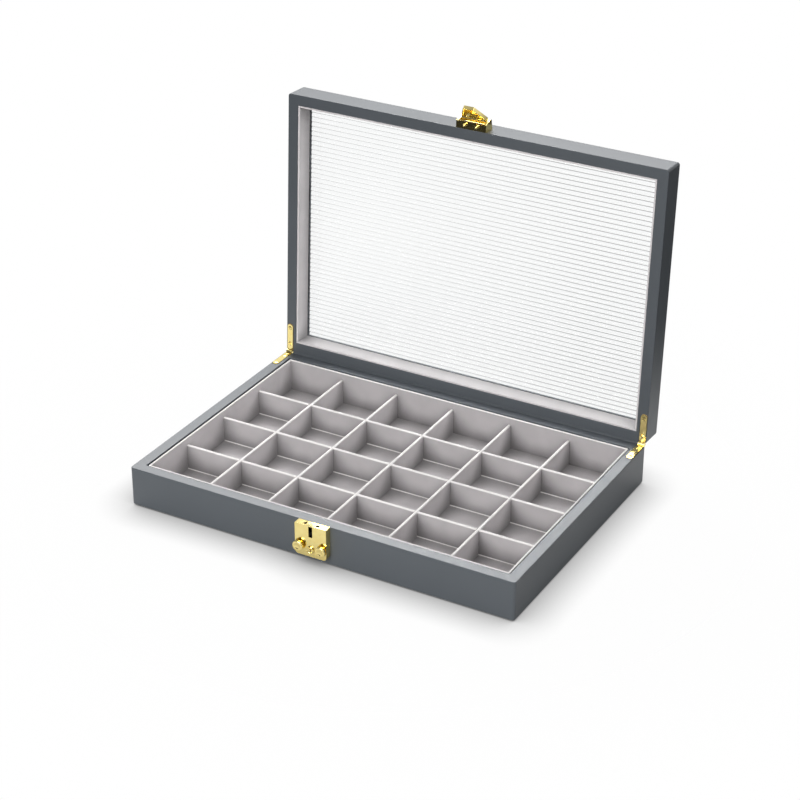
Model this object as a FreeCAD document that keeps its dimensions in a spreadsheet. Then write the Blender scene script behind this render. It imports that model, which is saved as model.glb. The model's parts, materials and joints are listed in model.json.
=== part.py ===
import FreeCAD, Part
import math
import os
import re

import Sketcher

# Leather-covered jewelry box with a reeded window in its lid.
# Millimetres, +Z up, +X to the right, +Y to the back; the origin is the middle of the underside.
# Every piece is drawn in the closed box. The lid's pieces are then swung open by their placement,
# and the flap of the catch is swung out as well.

COLUMNS = 6
ROWS = 4

SIZES = (
    # Box, base and rims
    ("box_length", 350.0, "outside, left to right"),
    ("box_depth", 240.0, "outside, front to back"),
    ("box_height", 60.0, "closed, over the lid"),
    ("base_height", 35.5, "floor to the rim of the base"),
    ("seam_gap", 1.0, "between the two rims when closed"),
    ("rim_width", 9.5, "covered rail, outside to inside"),
    ("cover_thickness", 0.8, "leather over the rails"),
    ("corner_radius", 4.5, "upright corners"),
    ("base_edge_radius", 3.2, "lower edge of the base"),
    ("lid_edge_radius", 3.0, "upper edge of the lid"),
    ("rim_edge", 0.6, "bevel along both rims"),
    ("core_corner", 2.5, "bevel of the rails' upright corners"),
    ("core_edge", 1.5, "bevel of the rails' outer edge"),
    ("felt_thickness", 0.8, "sheet that the box stands on"),
    ("felt_margin", 7.0, "felt edge inside the outside wall"),
    ("board_thickness", 2.5, "bottom board between the rails"),
    # Tray
    ("tray_gap", 0.9, "round the tray, inside the rim"),
    ("tray_wall", 1.8, "side walls of the tray"),
    ("tray_floor", 1.6, "padded floor of the tray"),
    ("tray_drop", 0.6, "rim down to the tray walls"),
    ("divider_drop", 7.0, "rim down to the dividers"),
    ("divider_thickness", 2.6, "both ways"),
    ("column_pitch", 55.2, "cross dividers, middle to middle"),
    ("row_pitch", 55.4, "long dividers, middle to middle"),
    ("lap_clearance", 0.1, "each side of a half-lap"),
    # Lid
    ("lip_width", 3.0, "overhang that holds the pane"),
    ("lip_thickness", 3.0, "covered, under the lid's top"),
    ("pane_thickness", 3.2, "over the reeds"),
    ("pane_clearance", 0.4, "round the pane"),
    ("reed_pitch", 4.2, "reed to reed"),
    ("reed_rise", 0.55, "height of a reed"),
    ("lining_thickness", 1.6, "strips inside the lid"),
    ("lining_drop", 0.5, "lid rim to the strips"),
    ("lining_clearance", 0.1, "strips to the pane"),
    ("lid_open_angle", 93.0, "closed to the open stop"),
    # Hinges
    ("hinge_inset", 3.5, "side of the box to a hinge's middle"),
    ("leaf_width", 5.5, ""),
    ("leaf_length", 26.5, "round end to the pin"),
    ("leaf_thickness", 1.4, ""),
    ("leaf_stand", 0.2, "leaf proud of its rim"),
    ("mortise_clearance", 0.3, "round a leaf"),
    ("barrel_radius", 2.0, "hinge knuckles"),
    ("barrel_clearance", 0.4, "rails to the knuckles"),
    ("knuckle_width", 2.3, "middle knuckle, on the lid leaf"),
    ("knuckle_gap", 0.1, "between knuckles"),
    ("pin_radius", 1.0, "hinge pins and catch pin"),
    ("pin_clearance", 0.05, "pin in a turning knuckle"),
    # Prongs that hold the lock and the bracket on their rails
    ("prong_width", 2.6, ""),
    ("prong_height", 1.0, ""),
    ("prong_length", 6.0, "into the rail"),
    ("prong_offset", 8.0, "middle to a prong"),
    ("lock_prong_drop", 14.0, "base rim to the lock's prongs"),
    ("bracket_prong_rise", 5.0, "lid rim to the bracket's prongs"),
    # Lock
    ("lock_width", 28.5, ""),
    ("lock_height", 28.0, "down from the rim"),
    ("lock_depth", 6.2, "proud of the front"),
    ("lock_wall", 1.2, ""),
    ("lock_corner_radius", 3.0, "lower corners"),
    ("lock_edge", 0.5, "bevel of the front edges"),
    ("lock_plate", 1.0, "back plate"),
    ("slot_width", 3.5, "slot for the hook"),
    ("slot_height", 9.5, ""),
    ("slot_drop", 0.9, "top of the lock to the slot"),
    ("button_radius", 4.7, "cap"),
    ("button_offset", 10.15, "middle of the lock to a button"),
    ("button_rise", 8.6, "bottom of the lock to a button"),
    ("button_proud", 3.8, ""),
    ("button_travel", 1.6, ""),
    ("button_stand", 0.2, "pressed cap to the lock's face"),
    ("button_edge", 0.6, "bevel of the cap"),
    ("stem_radius", 2.3, "button behind its cap"),
    ("stem_clearance", 0.08, "stem in its hole"),
    ("collar_width", 0.5, "collar that keeps a button in"),
    ("collar_thickness", 0.8, ""),
    ("wedge_radius", 1.5, "tip of a button's cone"),
    ("wedge_growth", 1.2, "tip to the root of the cone"),
    ("plug_radius", 3.15, "key plug"),
    ("plug_rise", 6.4, "bottom of the lock to the plug"),
    ("plug_proud", 1.2, ""),
    ("plug_clearance", 0.05, "plug in its hole"),
    ("plug_flange", 0.8, "collar, wide and thick"),
    ("keyhole_width", 0.9, ""),
    ("keyhole_height", 3.6, ""),
    ("keyhole_depth", 2.0, ""),
    ("cam_reach", 4.6, "plug axis to the end of its cam"),
    ("cam_width", 2.4, ""),
    ("cam_thickness", 1.0, ""),
    # Catches inside the lock
    ("catch_thickness", 1.1, ""),
    ("catch_clearance", 0.1, "catch to its neighbours"),
    ("catch_foot_height", 2.9, "under the button's cone"),
    ("catch_foot_overhang", 2.4, "foot past the button's axis"),
    ("catch_arm_width", 2.4, ""),
    ("catch_arm_gap", 0.4, "arm to the button's cone and collar"),
    ("crank_height", 6.3, "where the arm turns forward"),
    ("catch_rise", 21.5, "bottom of the lock to the catch's top"),
    ("catch_bar_height", 2.8, ""),
    ("catch_split", 0.3, "between the two catches"),
    ("spring_radius", 0.7, "return springs"),
    ("spring_wire", 0.3, ""),
    # Catch on the lid
    ("bracket_width", 27.5, ""),
    ("bracket_height", 11.5, "up from the lid's rim"),
    ("bracket_wall", 1.4, ""),
    ("cheek_thickness", 2.2, "ends that carry the pin"),
    ("ear_radius", 2.6, ""),
    ("flap_axis_out", 7.0, "lid's front to the pin"),
    ("flap_axis_rise", 7.5, "lid's rim to the pin"),
    ("guide_radius", 1.2, "guide pins"),
    ("guide_offset", 5.5, "middle to a guide pin"),
    ("guide_out", 3.6, "front of the box to a guide pin"),
    ("guide_length", 3.0, "below the lid's rim"),
    ("guide_clearance", 0.3, "guide pin in its hole"),
    ("flap_thickness", 1.2, ""),
    ("flap_length", 19.2, "pin to the tip"),
    ("flap_shoulder", 4.0, "pin to where the taper starts"),
    ("flap_tip_width", 9.2, ""),
    ("flap_tip_radius", 1.4, ""),
    ("flap_wall", 1.7, "turned-in edge, height"),
    ("flap_edge", 1.0, "turned-in edge, thickness"),
    ("flap_gap", 0.3, "turned-in edge to the lock"),
    ("flap_side_gap", 0.15, "flap to the cheeks"),
    ("flap_barrel_radius", 2.4, ""),
    ("flap_open_angle", 42.0, "locked to the pose at rest"),
    ("hook_width", 2.8, ""),
    ("hook_height", 3.3, ""),
    ("hook_bite", 0.8, "overlap of hook and catch"),
    ("hook_relief", 0.3, "notch to the catch"),
    ("hook_nose", 1.2, "behind the notch"),
)

doc = FreeCAD.newDocument("jewelry_box")
sheet = doc.addObject("Spreadsheet::Sheet", "Sizes")
for row, (alias, size, meaning) in enumerate(SIZES, start=1):
    sheet.set(f"A{row}", alias)
    sheet.set(f"B{row}", str(size))
    sheet.set(f"C{row}", meaning)
    sheet.setAlias(f"B{row}", alias)
doc.recompute()

NAMES = {alias for alias, size, meaning in SIZES}
subparts = []


def formula(text):
    """Point each size named in the text at its cell."""
    return re.sub(r"[a-z][a-z_]*", lambda word: "Sizes." + word[0] if word[0] in NAMES else word[0], text)


def value(text):
    return float(sheet.evalExpression(formula(text)))


def vector(x, y, z):
    return FreeCAD.Vector(value(x), value(y), value(z))


def both_ways(half):
    """A span as wide on each side of the middle."""
    return f"-({half})", f"({half})"


def subpart(label, piece, placement=None):
    """Name a finished piece and put it where it rests."""
    piece.Label = label
    if placement is not None:
        piece.Placement = placement
    subparts.append(piece)
    return piece


# Solids made from primitives

TURN = {
    "+X": FreeCAD.Rotation(FreeCAD.Vector(0, 1, 0), 90),
    "+Z": FreeCAD.Rotation(),
}


def place(piece, x, y, z):
    for axis, text in zip("xyz", (x, y, z)):
        piece.setExpression(f"Placement.Base.{axis}", formula(text))
    return piece


def block(name, x, y, z):
    """A box between a low and a high value on each axis."""
    box = doc.addObject("Part::Box", name)
    for side, (low, high) in zip(("Length", "Width", "Height"), (x, y, z)):
        box.setExpression(side, formula(f"({high}) - ({low})"))
    return place(box, x[0], y[0], z[0])


def rod(name, heading, radius, length, start):
    cylinder = doc.addObject("Part::Cylinder", name)
    cylinder.setExpression("Radius", formula(radius))
    cylinder.setExpression("Height", formula(length))
    cylinder.Placement = FreeCAD.Placement(FreeCAD.Vector(), TURN[heading])
    return place(cylinder, *start)


def fuse(name, pieces):
    union = doc.addObject("Part::MultiFuse", name)
    union.Shapes = pieces
    return union


def cut(name, base, tools):
    difference = doc.addObject("Part::Cut", name)
    difference.Base = base
    difference.Tool = tools[0] if len(tools) == 1 else fuse(name + "_tools", tools)
    return difference


def common(name, base, tool):
    overlap = doc.addObject("Part::Common", name)
    overlap.Base = base
    overlap.Tool = tool
    return overlap


def group(name, pieces):
    compound = doc.addObject("Part::Compound", name)
    compound.Links = pieces
    return compound


# Bodies made from sketches

def new_body(name):
    return doc.addObject("PartDesign::Body", name)


def new_sketch(body, name, role, offset="0"):
    plane = next(feature for feature in body.Origin.OriginFeatures if feature.Role == role)
    sketch = body.newObject("Sketcher::SketchObject", name)
    sketch.AttachmentSupport = [(plane, "")]
    sketch.MapMode = "FlatFace"
    sketch.setExpression("AttachmentOffset.Base.z", formula(offset))
    return sketch


def constrain(sketch, kind, references, text):
    index = sketch.addConstraint(Sketcher.Constraint(kind, *references, value(text)))
    sketch.setExpression(f"Constraints[{index}]", formula(text))


def pin_point(sketch, geometry, vertex, across, upward):
    constrain(sketch, "DistanceX", (-1, 1, geometry, vertex), across)
    constrain(sketch, "DistanceY", (-1, 1, geometry, vertex), upward)


def draw_outline(sketch, points):
    """A closed outline of straight lines, each corner tied to its sizes."""
    corners = [vector(across, upward, "0") for across, upward in points]
    first = sketch.GeometryCount
    count = len(points)
    for index in range(count):
        sketch.addGeometry(Part.LineSegment(corners[index], corners[(index + 1) % count]))
    for index in range(count):
        following = first + (index + 1) % count
        sketch.addConstraint(Sketcher.Constraint("Coincident", first + index, 2, following, 1))
    for index, (across, upward) in enumerate(points):
        pin_point(sketch, first + index, 1, across, upward)


def draw_rectangle(sketch, across, upward):
    draw_outline(sketch, [(across[0], upward[0]), (across[1], upward[0]),
                          (across[1], upward[1]), (across[0], upward[1])])


def draw_circle(sketch, across, upward, radius):
    circle = Part.Circle(vector(across, upward, "0"), FreeCAD.Vector(0, 0, 1), value(radius))
    geometry = sketch.addGeometry(circle)
    pin_point(sketch, geometry, 3, across, upward)
    constrain(sketch, "Radius", (geometry,), radius)


def pad(body, sketch, length):
    feature = body.newObject("PartDesign::Pad", sketch.Name + "_pad")
    feature.Profile = sketch
    feature.setExpression("Length", formula(length))
    doc.recompute()
    return feature


def pocket(body, sketch, length, reverse=False):
    """Cut into the body, and make sure that the cut met it."""
    before = body.Shape.Volume
    feature = body.newObject("PartDesign::Pocket", sketch.Name + "_pocket")
    feature.Profile = sketch
    feature.setExpression("Length", formula(length))
    feature.Reversed = reverse
    doc.recompute()
    if body.Shape.Volume >= before:
        raise RuntimeError(sketch.Name + " cuts nothing")
    return feature


def revolve(body, sketch):
    """Turn a half section about the Y axis of its body."""
    feature = body.newObject("PartDesign::Revolution", sketch.Name + "_turned")
    feature.Profile = sketch
    feature.ReferenceAxis = (sketch, ["V_Axis"])
    feature.Angle = 360
    doc.recompute()
    return feature


def soften(body, kind, size, wanted):
    """Fillet or chamfer the edges of the body that pass the test."""
    tip = body.Tip
    edges = [f"Edge{index}" for index, edge in enumerate(tip.Shape.Edges, start=1) if wanted(edge)]
    feature = body.newObject(f"PartDesign::{kind}", f"{body.Name}_{kind.lower()}")
    feature.Base = (tip, edges)
    feature.setExpression({"Fillet": "Radius", "Chamfer": "Size"}[kind], formula(size))
    doc.recompute()
    return feature


def near(number, text):
    return abs(number - value(text)) < 1e-4


def runs_along(edge, axis):
    """Whether a straight edge runs along the X, Y or Z axis."""
    low, high = edge.Vertexes[0].Point, edge.Vertexes[-1].Point
    step = high - low
    return all(abs(step[other]) < 1e-4 for other in range(3) if other != axis) and step.Length > 1e-4


def lies_at(edge, axis, text):
    """Whether the whole edge lies at one height along an axis."""
    low = edge.BoundBox.getPoint(0)
    high = edge.BoundBox.getPoint(6)
    return near(low[axis], text) and near(high[axis], text)


# Places that several pieces share

HALF_LENGTH = "(box_length / 2)"
HALF_DEPTH = "(box_depth / 2)"
BASE_FLOOR = "felt_thickness"
CORE_FLOOR = "(felt_thickness + cover_thickness)"
CORE_RIM = "(base_height - cover_thickness)"
BOARD_TOP = f"({CORE_FLOOR} + board_thickness)"
TRAY_TOP = f"({BOARD_TOP} + tray_floor)"
CAVITY_X = f"({HALF_LENGTH} - rim_width)"
CAVITY_Y = f"({HALF_DEPTH} - rim_width)"
LID_RIM = "(base_height + seam_gap)"
AXIS_Z = "(base_height + seam_gap / 2)"
AXIS_Y = HALF_DEPTH
PANE_SEAT = "(box_height - lip_thickness)"
PANE_FACE = f"({PANE_SEAT} - pane_thickness)"
FRONT = f"(-{HALF_DEPTH})"

LOCK_FACE = "(-box_depth / 2 - lock_depth)"
LOCK_FLOOR = "(base_height - lock_height)"
BUTTON_Z = f"({LOCK_FLOOR} + button_rise)"
PLUG_Z = f"({LOCK_FLOOR} + plug_rise)"
CATCH_TOP = f"({LOCK_FLOOR} + catch_rise)"
FLAP_Y = f"({FRONT} - flap_axis_out)"
FLAP_Z = f"({LID_RIM} + flap_axis_rise)"

LID_OPEN = FreeCAD.Placement(
    FreeCAD.Vector(),
    FreeCAD.Rotation(FreeCAD.Vector(1, 0, 0), -value("lid_open_angle")),
    vector("0", AXIS_Y, AXIS_Z),
)
FLAP_OPEN = LID_OPEN.multiply(FreeCAD.Placement(
    FreeCAD.Vector(),
    FreeCAD.Rotation(FreeCAD.Vector(1, 0, 0), -value("flap_open_angle")),
    vector("0", FLAP_Y, FLAP_Z),
))

SIDES = {"left": "-1", "right": "1"}
RAIL_SIDES = ("front", "right", "back", "left")


# Prongs, drawn once for the piece that carries them and for the slots that take them

def prong_sections(height):
    """Each prong across and upward, seen from the front."""
    upward = (f"{height} - prong_height / 2", f"{height} + prong_height / 2")
    return [((f"{sign} * prong_offset - prong_width / 2", f"{sign} * prong_offset + prong_width / 2"), upward)
            for sign in SIDES.values()]


def prong_slots(name, height):
    return [block(f"{name}_{number}", across, (FRONT, f"{FRONT} + prong_length"), upward)
            for number, (across, upward) in enumerate(prong_sections(height), start=1)]


def add_prongs(body, name, height):
    prongs = new_sketch(body, name, "XZ_Plane", f"{HALF_DEPTH} - prong_length")
    for across, upward in prong_sections(height):
        draw_rectangle(prongs, across, upward)
    pad(body, prongs, "prong_length")


LOCK_PRONG_Z = "(base_height - lock_prong_drop)"
BRACKET_PRONG_Z = f"({LID_RIM} + bracket_prong_rise)"
lock_slots = prong_slots("lock_slot", LOCK_PRONG_Z)
bracket_slots = prong_slots("bracket_slot", BRACKET_PRONG_Z)


# Mortises that let the hinge leaves and knuckles into the rails

def mortise(name, side, seat, rim):
    sign = SIDES[side]
    middle = f"({sign} * ({HALF_LENGTH} - hinge_inset))"
    half = "(leaf_width / 2 + mortise_clearance)"
    across = (f"{middle} - {half}", f"{middle} + {half}")
    round_middle = f"({AXIS_Y} - leaf_length + leaf_width / 2)"
    low, high = sorted((seat, rim), key=value)
    trench = block(name + "_trench", across, (round_middle, f"{AXIS_Y} + barrel_radius"), (low, high))
    end = rod(name + "_end", "+Z", half, f"{high} - {low}", (middle, round_middle, low))
    knuckles = rod(name + "_knuckles", "+X", "barrel_radius + barrel_clearance", f"2 * {half}",
                   (across[0], AXIS_Y, AXIS_Z))
    return fuse(name, [trench, end, knuckles])


BASE_LEAF_SEAT = "(base_height + leaf_stand - leaf_thickness)"
LID_LEAF_SEAT = f"({LID_RIM} - leaf_stand + leaf_thickness)"
base_mortises = [mortise(f"base_mortise_{side}", side, BASE_LEAF_SEAT, "base_height + leaf_stand")
                 for side in SIDES]
lid_mortises = [mortise(f"lid_mortise_{side}", side, LID_LEAF_SEAT, f"{LID_RIM} - leaf_stand")
                for side in SIDES]


# Rails and covers

def plain_block(name, inset, low, high):
    """A block set in from the outside of the box."""
    body = new_body(name)
    sketch = new_sketch(body, name + "_plan", "XY_Plane", low)
    draw_rectangle(sketch, both_ways(f"{HALF_LENGTH} - {inset}"), both_ways(f"{HALF_DEPTH} - {inset}"))
    pad(body, sketch, f"{high} - {low}")
    return body


def core_block(name, low, high, outer_level):
    """The rails before they are hollowed, bevelled to lie well under the rounded cover."""
    body = plain_block(name, "cover_thickness", low, high)
    soften(body, "Chamfer", "core_corner", lambda edge: runs_along(edge, 2))
    soften(body, "Chamfer", "core_edge", lambda edge: lies_at(edge, 2, outer_level))
    return body


def cover_block(name, low, high, outer_level, outer_radius, rim_level):
    """The outside of the cover, rounded at its corners and outer edge and bevelled along its rim."""
    body = plain_block(name, "0", low, high)
    soften(body, "Fillet", "corner_radius", lambda edge: runs_along(edge, 2))
    soften(body, "Fillet", outer_radius, lambda edge: lies_at(edge, 2, outer_level))
    soften(body, "Chamfer", "rim_edge", lambda edge: lies_at(edge, 2, rim_level))
    return body


def mitre(name, side, low, high):
    """A wedge that takes one rail out of a frame, with its ends at 45 degrees."""
    turns = RAIL_SIDES.index(side)
    half = HALF_LENGTH if side in ("front", "back") else HALF_DEPTH
    wedge = doc.addObject("Part::Wedge", name)
    for prefix, reach in (("X", half), ("X2", f"({half} - rim_width)")):
        wedge.setExpression(prefix + "min", formula(f"-{reach}"))
        wedge.setExpression(prefix + "max", formula(reach))
    for prefix in ("Z", "Z2"):
        wedge.setExpression(prefix + "min", formula(low))
        wedge.setExpression(prefix + "max", formula(high))
    wedge.Ymin = 0
    wedge.setExpression("Ymax", "Sizes.rim_width")
    wedge.Placement = FreeCAD.Placement(FreeCAD.Vector(), FreeCAD.Rotation(FreeCAD.Vector(0, 0, 1), 90 * turns))
    start = {"front": ("0", FRONT), "right": (HALF_LENGTH, "0"),
             "back": ("0", HALF_DEPTH), "left": (f"-{HALF_LENGTH}", "0")}[side]
    return place(wedge, *start, "0")


def rails(prefix, frame, low, high, placement=None):
    for side in RAIL_SIDES:
        wedge = mitre(f"{prefix}_{side}_mitre", side, low, high)
        subpart(f"{prefix}_{side}_rail", common(f"{prefix}_{side}_rail", frame, wedge), placement)


def soften_rim(name, cover, level):
    """Bevel the inner edge of a covered rim."""
    doc.recompute()
    wanted = [index for index, edge in enumerate(cover.Shape.Edges, start=1)
              if lies_at(edge, 2, level)
              and any(lies_at(edge, axis, f"{sign} * {reach}")
                      for axis, reach in ((0, CAVITY_X), (1, CAVITY_Y)) for sign in ("1", "-1"))]
    soft = doc.addObject("Part::Chamfer", name)
    soft.Base = cover
    soft.Edges = [(index, value("rim_edge"), value("rim_edge")) for index in wanted]
    return soft


INNER_X = f"({CAVITY_X} + cover_thickness)"
INNER_Y = f"({CAVITY_Y} + cover_thickness)"


def base_case():
    """Mitred rails round a bottom board, all under one cover, on a felt sheet."""
    core = core_block("base_core", CORE_FLOOR, CORE_RIM, CORE_FLOOR)
    well = block("base_well", both_ways(INNER_X), both_ways(INNER_Y), (CORE_FLOOR, CORE_RIM))
    frame = cut("base_frame", core, [well] + base_mortises + lock_slots)
    rails("base", frame, BASE_FLOOR, "base_height")
    board = block("base_bottom_board", both_ways(INNER_X), both_ways(INNER_Y), (CORE_FLOOR, BOARD_TOP))
    subpart("base_bottom_board", board)

    skin = cover_block("base_skin", BASE_FLOOR, "base_height", BASE_FLOOR, "base_edge_radius", "base_height")
    hollow = block("base_hollow", both_ways(CAVITY_X), both_ways(CAVITY_Y), (BOARD_TOP, "base_height"))
    ring = cut("base_core_ring", core, [well])
    wrap = soften_rim("base_wrap_soft", cut("base_wrap", skin, [ring, board, hollow]), "base_height")
    cover = cut("base_leather_cover", wrap, base_mortises + lock_slots)
    subpart("base_leather_cover", cover)

    felt = block("base_felt", both_ways(f"{HALF_LENGTH} - felt_margin"),
                 both_ways(f"{HALF_DEPTH} - felt_margin"), ("0", BASE_FLOOR))
    subpart("base_felt", felt)


def lid_case():
    """Mitred rails with a lip over the pane, under one cover that turns in at the window."""
    core_top = "(box_height - cover_thickness)"
    core_rim = f"({LID_RIM} + cover_thickness)"
    window_x = f"({CAVITY_X} - lip_width)"
    window_y = f"({CAVITY_Y} - lip_width)"
    core = core_block("lid_core", core_rim, core_top, core_top)
    core_window = block("lid_core_window", both_ways(f"{window_x} + cover_thickness"),
                        both_ways(f"{window_y} + cover_thickness"), (core_rim, core_top))
    core_recess = block("lid_core_recess", both_ways(INNER_X), both_ways(INNER_Y),
                        (core_rim, f"{PANE_SEAT} + cover_thickness"))
    ring = cut("lid_core_ring", core, [core_window, core_recess])
    frame = cut("lid_frame", ring, lid_mortises + bracket_slots)
    rails("lid", frame, LID_RIM, "box_height", LID_OPEN)

    skin = cover_block("lid_skin", LID_RIM, "box_height", "box_height", "lid_edge_radius", LID_RIM)
    window = block("lid_window", both_ways(window_x), both_ways(window_y), (LID_RIM, "box_height"))
    recess = block("lid_recess", both_ways(CAVITY_X), both_ways(CAVITY_Y), (LID_RIM, PANE_SEAT))
    wrap = soften_rim("lid_wrap_soft", cut("lid_wrap", skin, [ring, window, recess]), LID_RIM)
    cover = cut("lid_leather_cover", wrap, lid_mortises + bracket_slots)
    subpart("lid_leather_cover", cover, LID_OPEN)


base_case()
lid_case()


# Window pane and the strips that hold it

def reeded_pane():
    """A pane whose inner face is a row of shallow round reeds that run left to right."""
    half_x = value(f"{CAVITY_X} - pane_clearance")
    half_y = value(f"{CAVITY_Y} - pane_clearance")
    back, crest = value(PANE_SEAT), value(PANE_FACE)
    pitch, valley = value("reed_pitch"), crest + value("reed_rise")
    count = math.floor(2 * half_y / pitch)
    start = -count * pitch / 2
    outline = [Part.LineSegment(FreeCAD.Vector(-half_x, -half_y, valley), FreeCAD.Vector(-half_x, start, valley))]
    for index in range(count):
        left = start + index * pitch
        outline.append(Part.Arc(FreeCAD.Vector(-half_x, left, valley),
                                FreeCAD.Vector(-half_x, left + pitch / 2, crest),
                                FreeCAD.Vector(-half_x, left + pitch, valley)))
    rest = [(-start, valley), (half_y, valley), (half_y, back), (-half_y, back), (-half_y, valley)]
    for (y, z), (next_y, next_z) in zip(rest, rest[1:]):
        outline.append(Part.LineSegment(FreeCAD.Vector(-half_x, y, z), FreeCAD.Vector(-half_x, next_y, next_z)))
    section = Part.Face(Part.Wire([segment.toShape() for segment in outline]))
    pane = doc.addObject("Part::Feature", "window_pane")
    pane.Shape = section.extrude(FreeCAD.Vector(2 * half_x, 0, 0))
    subpart("window_pane", pane, LID_OPEN)


def lid_lining():
    inner_y = f"({CAVITY_Y} - lining_thickness)"
    inner_x = f"({CAVITY_X} - lining_thickness)"
    low = f"({LID_RIM} + lining_drop)"
    high = f"({PANE_FACE} - lining_clearance)"
    strips = {
        "front": (both_ways(CAVITY_X), (f"-{CAVITY_Y}", f"-{inner_y}")),
        "back": (both_ways(CAVITY_X), (inner_y, CAVITY_Y)),
        "left": ((f"-{CAVITY_X}", f"-{inner_x}"), both_ways(inner_y)),
        "right": ((inner_x, CAVITY_X), both_ways(inner_y)),
    }
    for side, (x, y) in strips.items():
        strip = new_body(f"lid_lining_{side}")
        plan = new_sketch(strip, f"lining_{side}_plan", "XY_Plane", low)
        draw_rectangle(plan, x, y)
        pad(strip, plan, f"{high} - {low}")
        subpart(f"lid_lining_{side}", strip, LID_OPEN)


reeded_pane()
lid_lining()


# Tray with its half-lapped dividers

TRAY_X = f"({CAVITY_X} - tray_gap)"
TRAY_Y = f"({CAVITY_Y} - tray_gap)"
INSIDE_X = f"({TRAY_X} - tray_wall)"
INSIDE_Y = f"({TRAY_Y} - tray_wall)"
DIVIDER_TOP = "(base_height - divider_drop)"
LAP_MIDDLE = f"(({TRAY_TOP} + {DIVIDER_TOP}) / 2)"


def tray_shell():
    subpart("tray_floor", block("tray_floor", both_ways(TRAY_X), both_ways(TRAY_Y), (BOARD_TOP, TRAY_TOP)))
    height = (TRAY_TOP, "base_height - tray_drop")
    walls = {
        "front": (both_ways(TRAY_X), (f"-{TRAY_Y}", f"-{INSIDE_Y}")),
        "back": (both_ways(TRAY_X), (INSIDE_Y, TRAY_Y)),
        "left": ((f"-{TRAY_X}", f"-{INSIDE_X}"), both_ways(INSIDE_Y)),
        "right": ((INSIDE_X, TRAY_X), both_ways(INSIDE_Y)),
    }
    for side, (x, y) in walls.items():
        subpart(f"tray_{side}_wall", block(f"tray_{side}_wall", x, y, height))


def around(middle):
    return f"{middle} - divider_thickness / 2", f"{middle} + divider_thickness / 2"


def lap(middle):
    half = "(divider_thickness / 2 + lap_clearance)"
    return f"{middle} - {half}", f"{middle} + {half}"


def dividers():
    """Long dividers are slotted from above and cross dividers from below, so that they lock together."""
    columns = [f"({number - COLUMNS / 2}) * column_pitch" for number in range(1, COLUMNS)]
    rows = [f"({number - ROWS / 2}) * row_pitch" for number in range(1, ROWS)]
    height = (TRAY_TOP, DIVIDER_TOP)
    for label, row in zip(("front", "middle", "rear"), rows):
        name = f"long_divider_{label}"
        board = block(name + "_board", both_ways(INSIDE_X), around(row), height)
        slots = [block(f"{name}_slot_{number}", lap(column), around(row),
                       (f"{LAP_MIDDLE} - lap_clearance", DIVIDER_TOP))
                 for number, column in enumerate(columns, start=1)]
        subpart(name, cut(name, board, slots))
    for number, column in enumerate(columns, start=1):
        name = f"cross_divider_{number}"
        board = block(name + "_board", around(column), both_ways(INSIDE_Y), height)
        slots = [block(f"{name}_slot_{index}", around(column), lap(row), (TRAY_TOP, LAP_MIDDLE))
                 for index, row in enumerate(rows, start=1)]
        subpart(name, cut(name, board, slots))


tray_shell()
dividers()


# Side-rail hinges

OUTER_KNUCKLE = "((leaf_width - knuckle_width) / 2 - knuckle_gap)"


def hinge_leaf(name, side, seat, knuckles, bore):
    """A round-ended leaf let into a rim, its fingers reaching back to their knuckles on the pin."""
    middle = f"({SIDES[side]} * ({HALF_LENGTH} - hinge_inset))"
    half = "(leaf_width / 2)"
    low, high = sorted(seat, key=value)
    across = (f"{middle} - {half}", f"{middle} + {half}")
    round_middle = f"({AXIS_Y} - leaf_length + {half})"
    plate_end = f"({AXIS_Y} - barrel_radius - barrel_clearance)"
    pieces = [block(name + "_plate", across, (round_middle, plate_end), (low, high)),
              rod(name + "_end", "+Z", half, f"{high} - {low}", (middle, round_middle, low))]
    for number, (start, width) in enumerate(knuckles, start=1):
        first = f"{across[0]} + {start}"
        pieces.append(block(f"{name}_finger_{number}", (first, f"{first} + {width}"),
                            (plate_end, AXIS_Y), (low, high)))
        pieces.append(rod(f"{name}_knuckle_{number}", "+X", "barrel_radius", width, (first, AXIS_Y, AXIS_Z)))
    bore_rod = rod(name + "_bore", "+X", bore, "leaf_width", (across[0], AXIS_Y, AXIS_Z))
    return cut(name, fuse(name + "_blank", pieces), [bore_rod])


def hinges():
    outer = [("0", OUTER_KNUCKLE), (f"leaf_width - {OUTER_KNUCKLE}", OUTER_KNUCKLE)]
    inner = [("(leaf_width - knuckle_width) / 2", "knuckle_width")]
    for side, sign in SIDES.items():
        base_leaf = hinge_leaf(f"{side}_hinge_base_leaf", side, (BASE_LEAF_SEAT, "base_height + leaf_stand"),
                               outer, "pin_radius")
        subpart(f"{side}_hinge_base_leaf", base_leaf)
        lid_leaf = hinge_leaf(f"{side}_hinge_lid_leaf", side, (LID_LEAF_SEAT, f"{LID_RIM} - leaf_stand"),
                              inner, "pin_radius + pin_clearance")
        subpart(f"{side}_hinge_lid_leaf", lid_leaf, LID_OPEN)
        pin = rod(f"{side}_hinge_pin", "+X", "pin_radius", "leaf_width",
                  (f"{sign} * ({HALF_LENGTH} - hinge_inset) - leaf_width / 2", AXIS_Y, AXIS_Z))
        subpart(f"{side}_hinge_pin", pin)


hinges()


# Lock on the front of the base

LOCK_HALF = "(lock_width / 2)"
BEHIND_WALL = "(box_depth / 2 + lock_depth - lock_wall)"
FACE_OFFSET = "(box_depth / 2 + lock_depth)"
PLATE_OFFSET = "(box_depth / 2 + lock_plate)"


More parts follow.
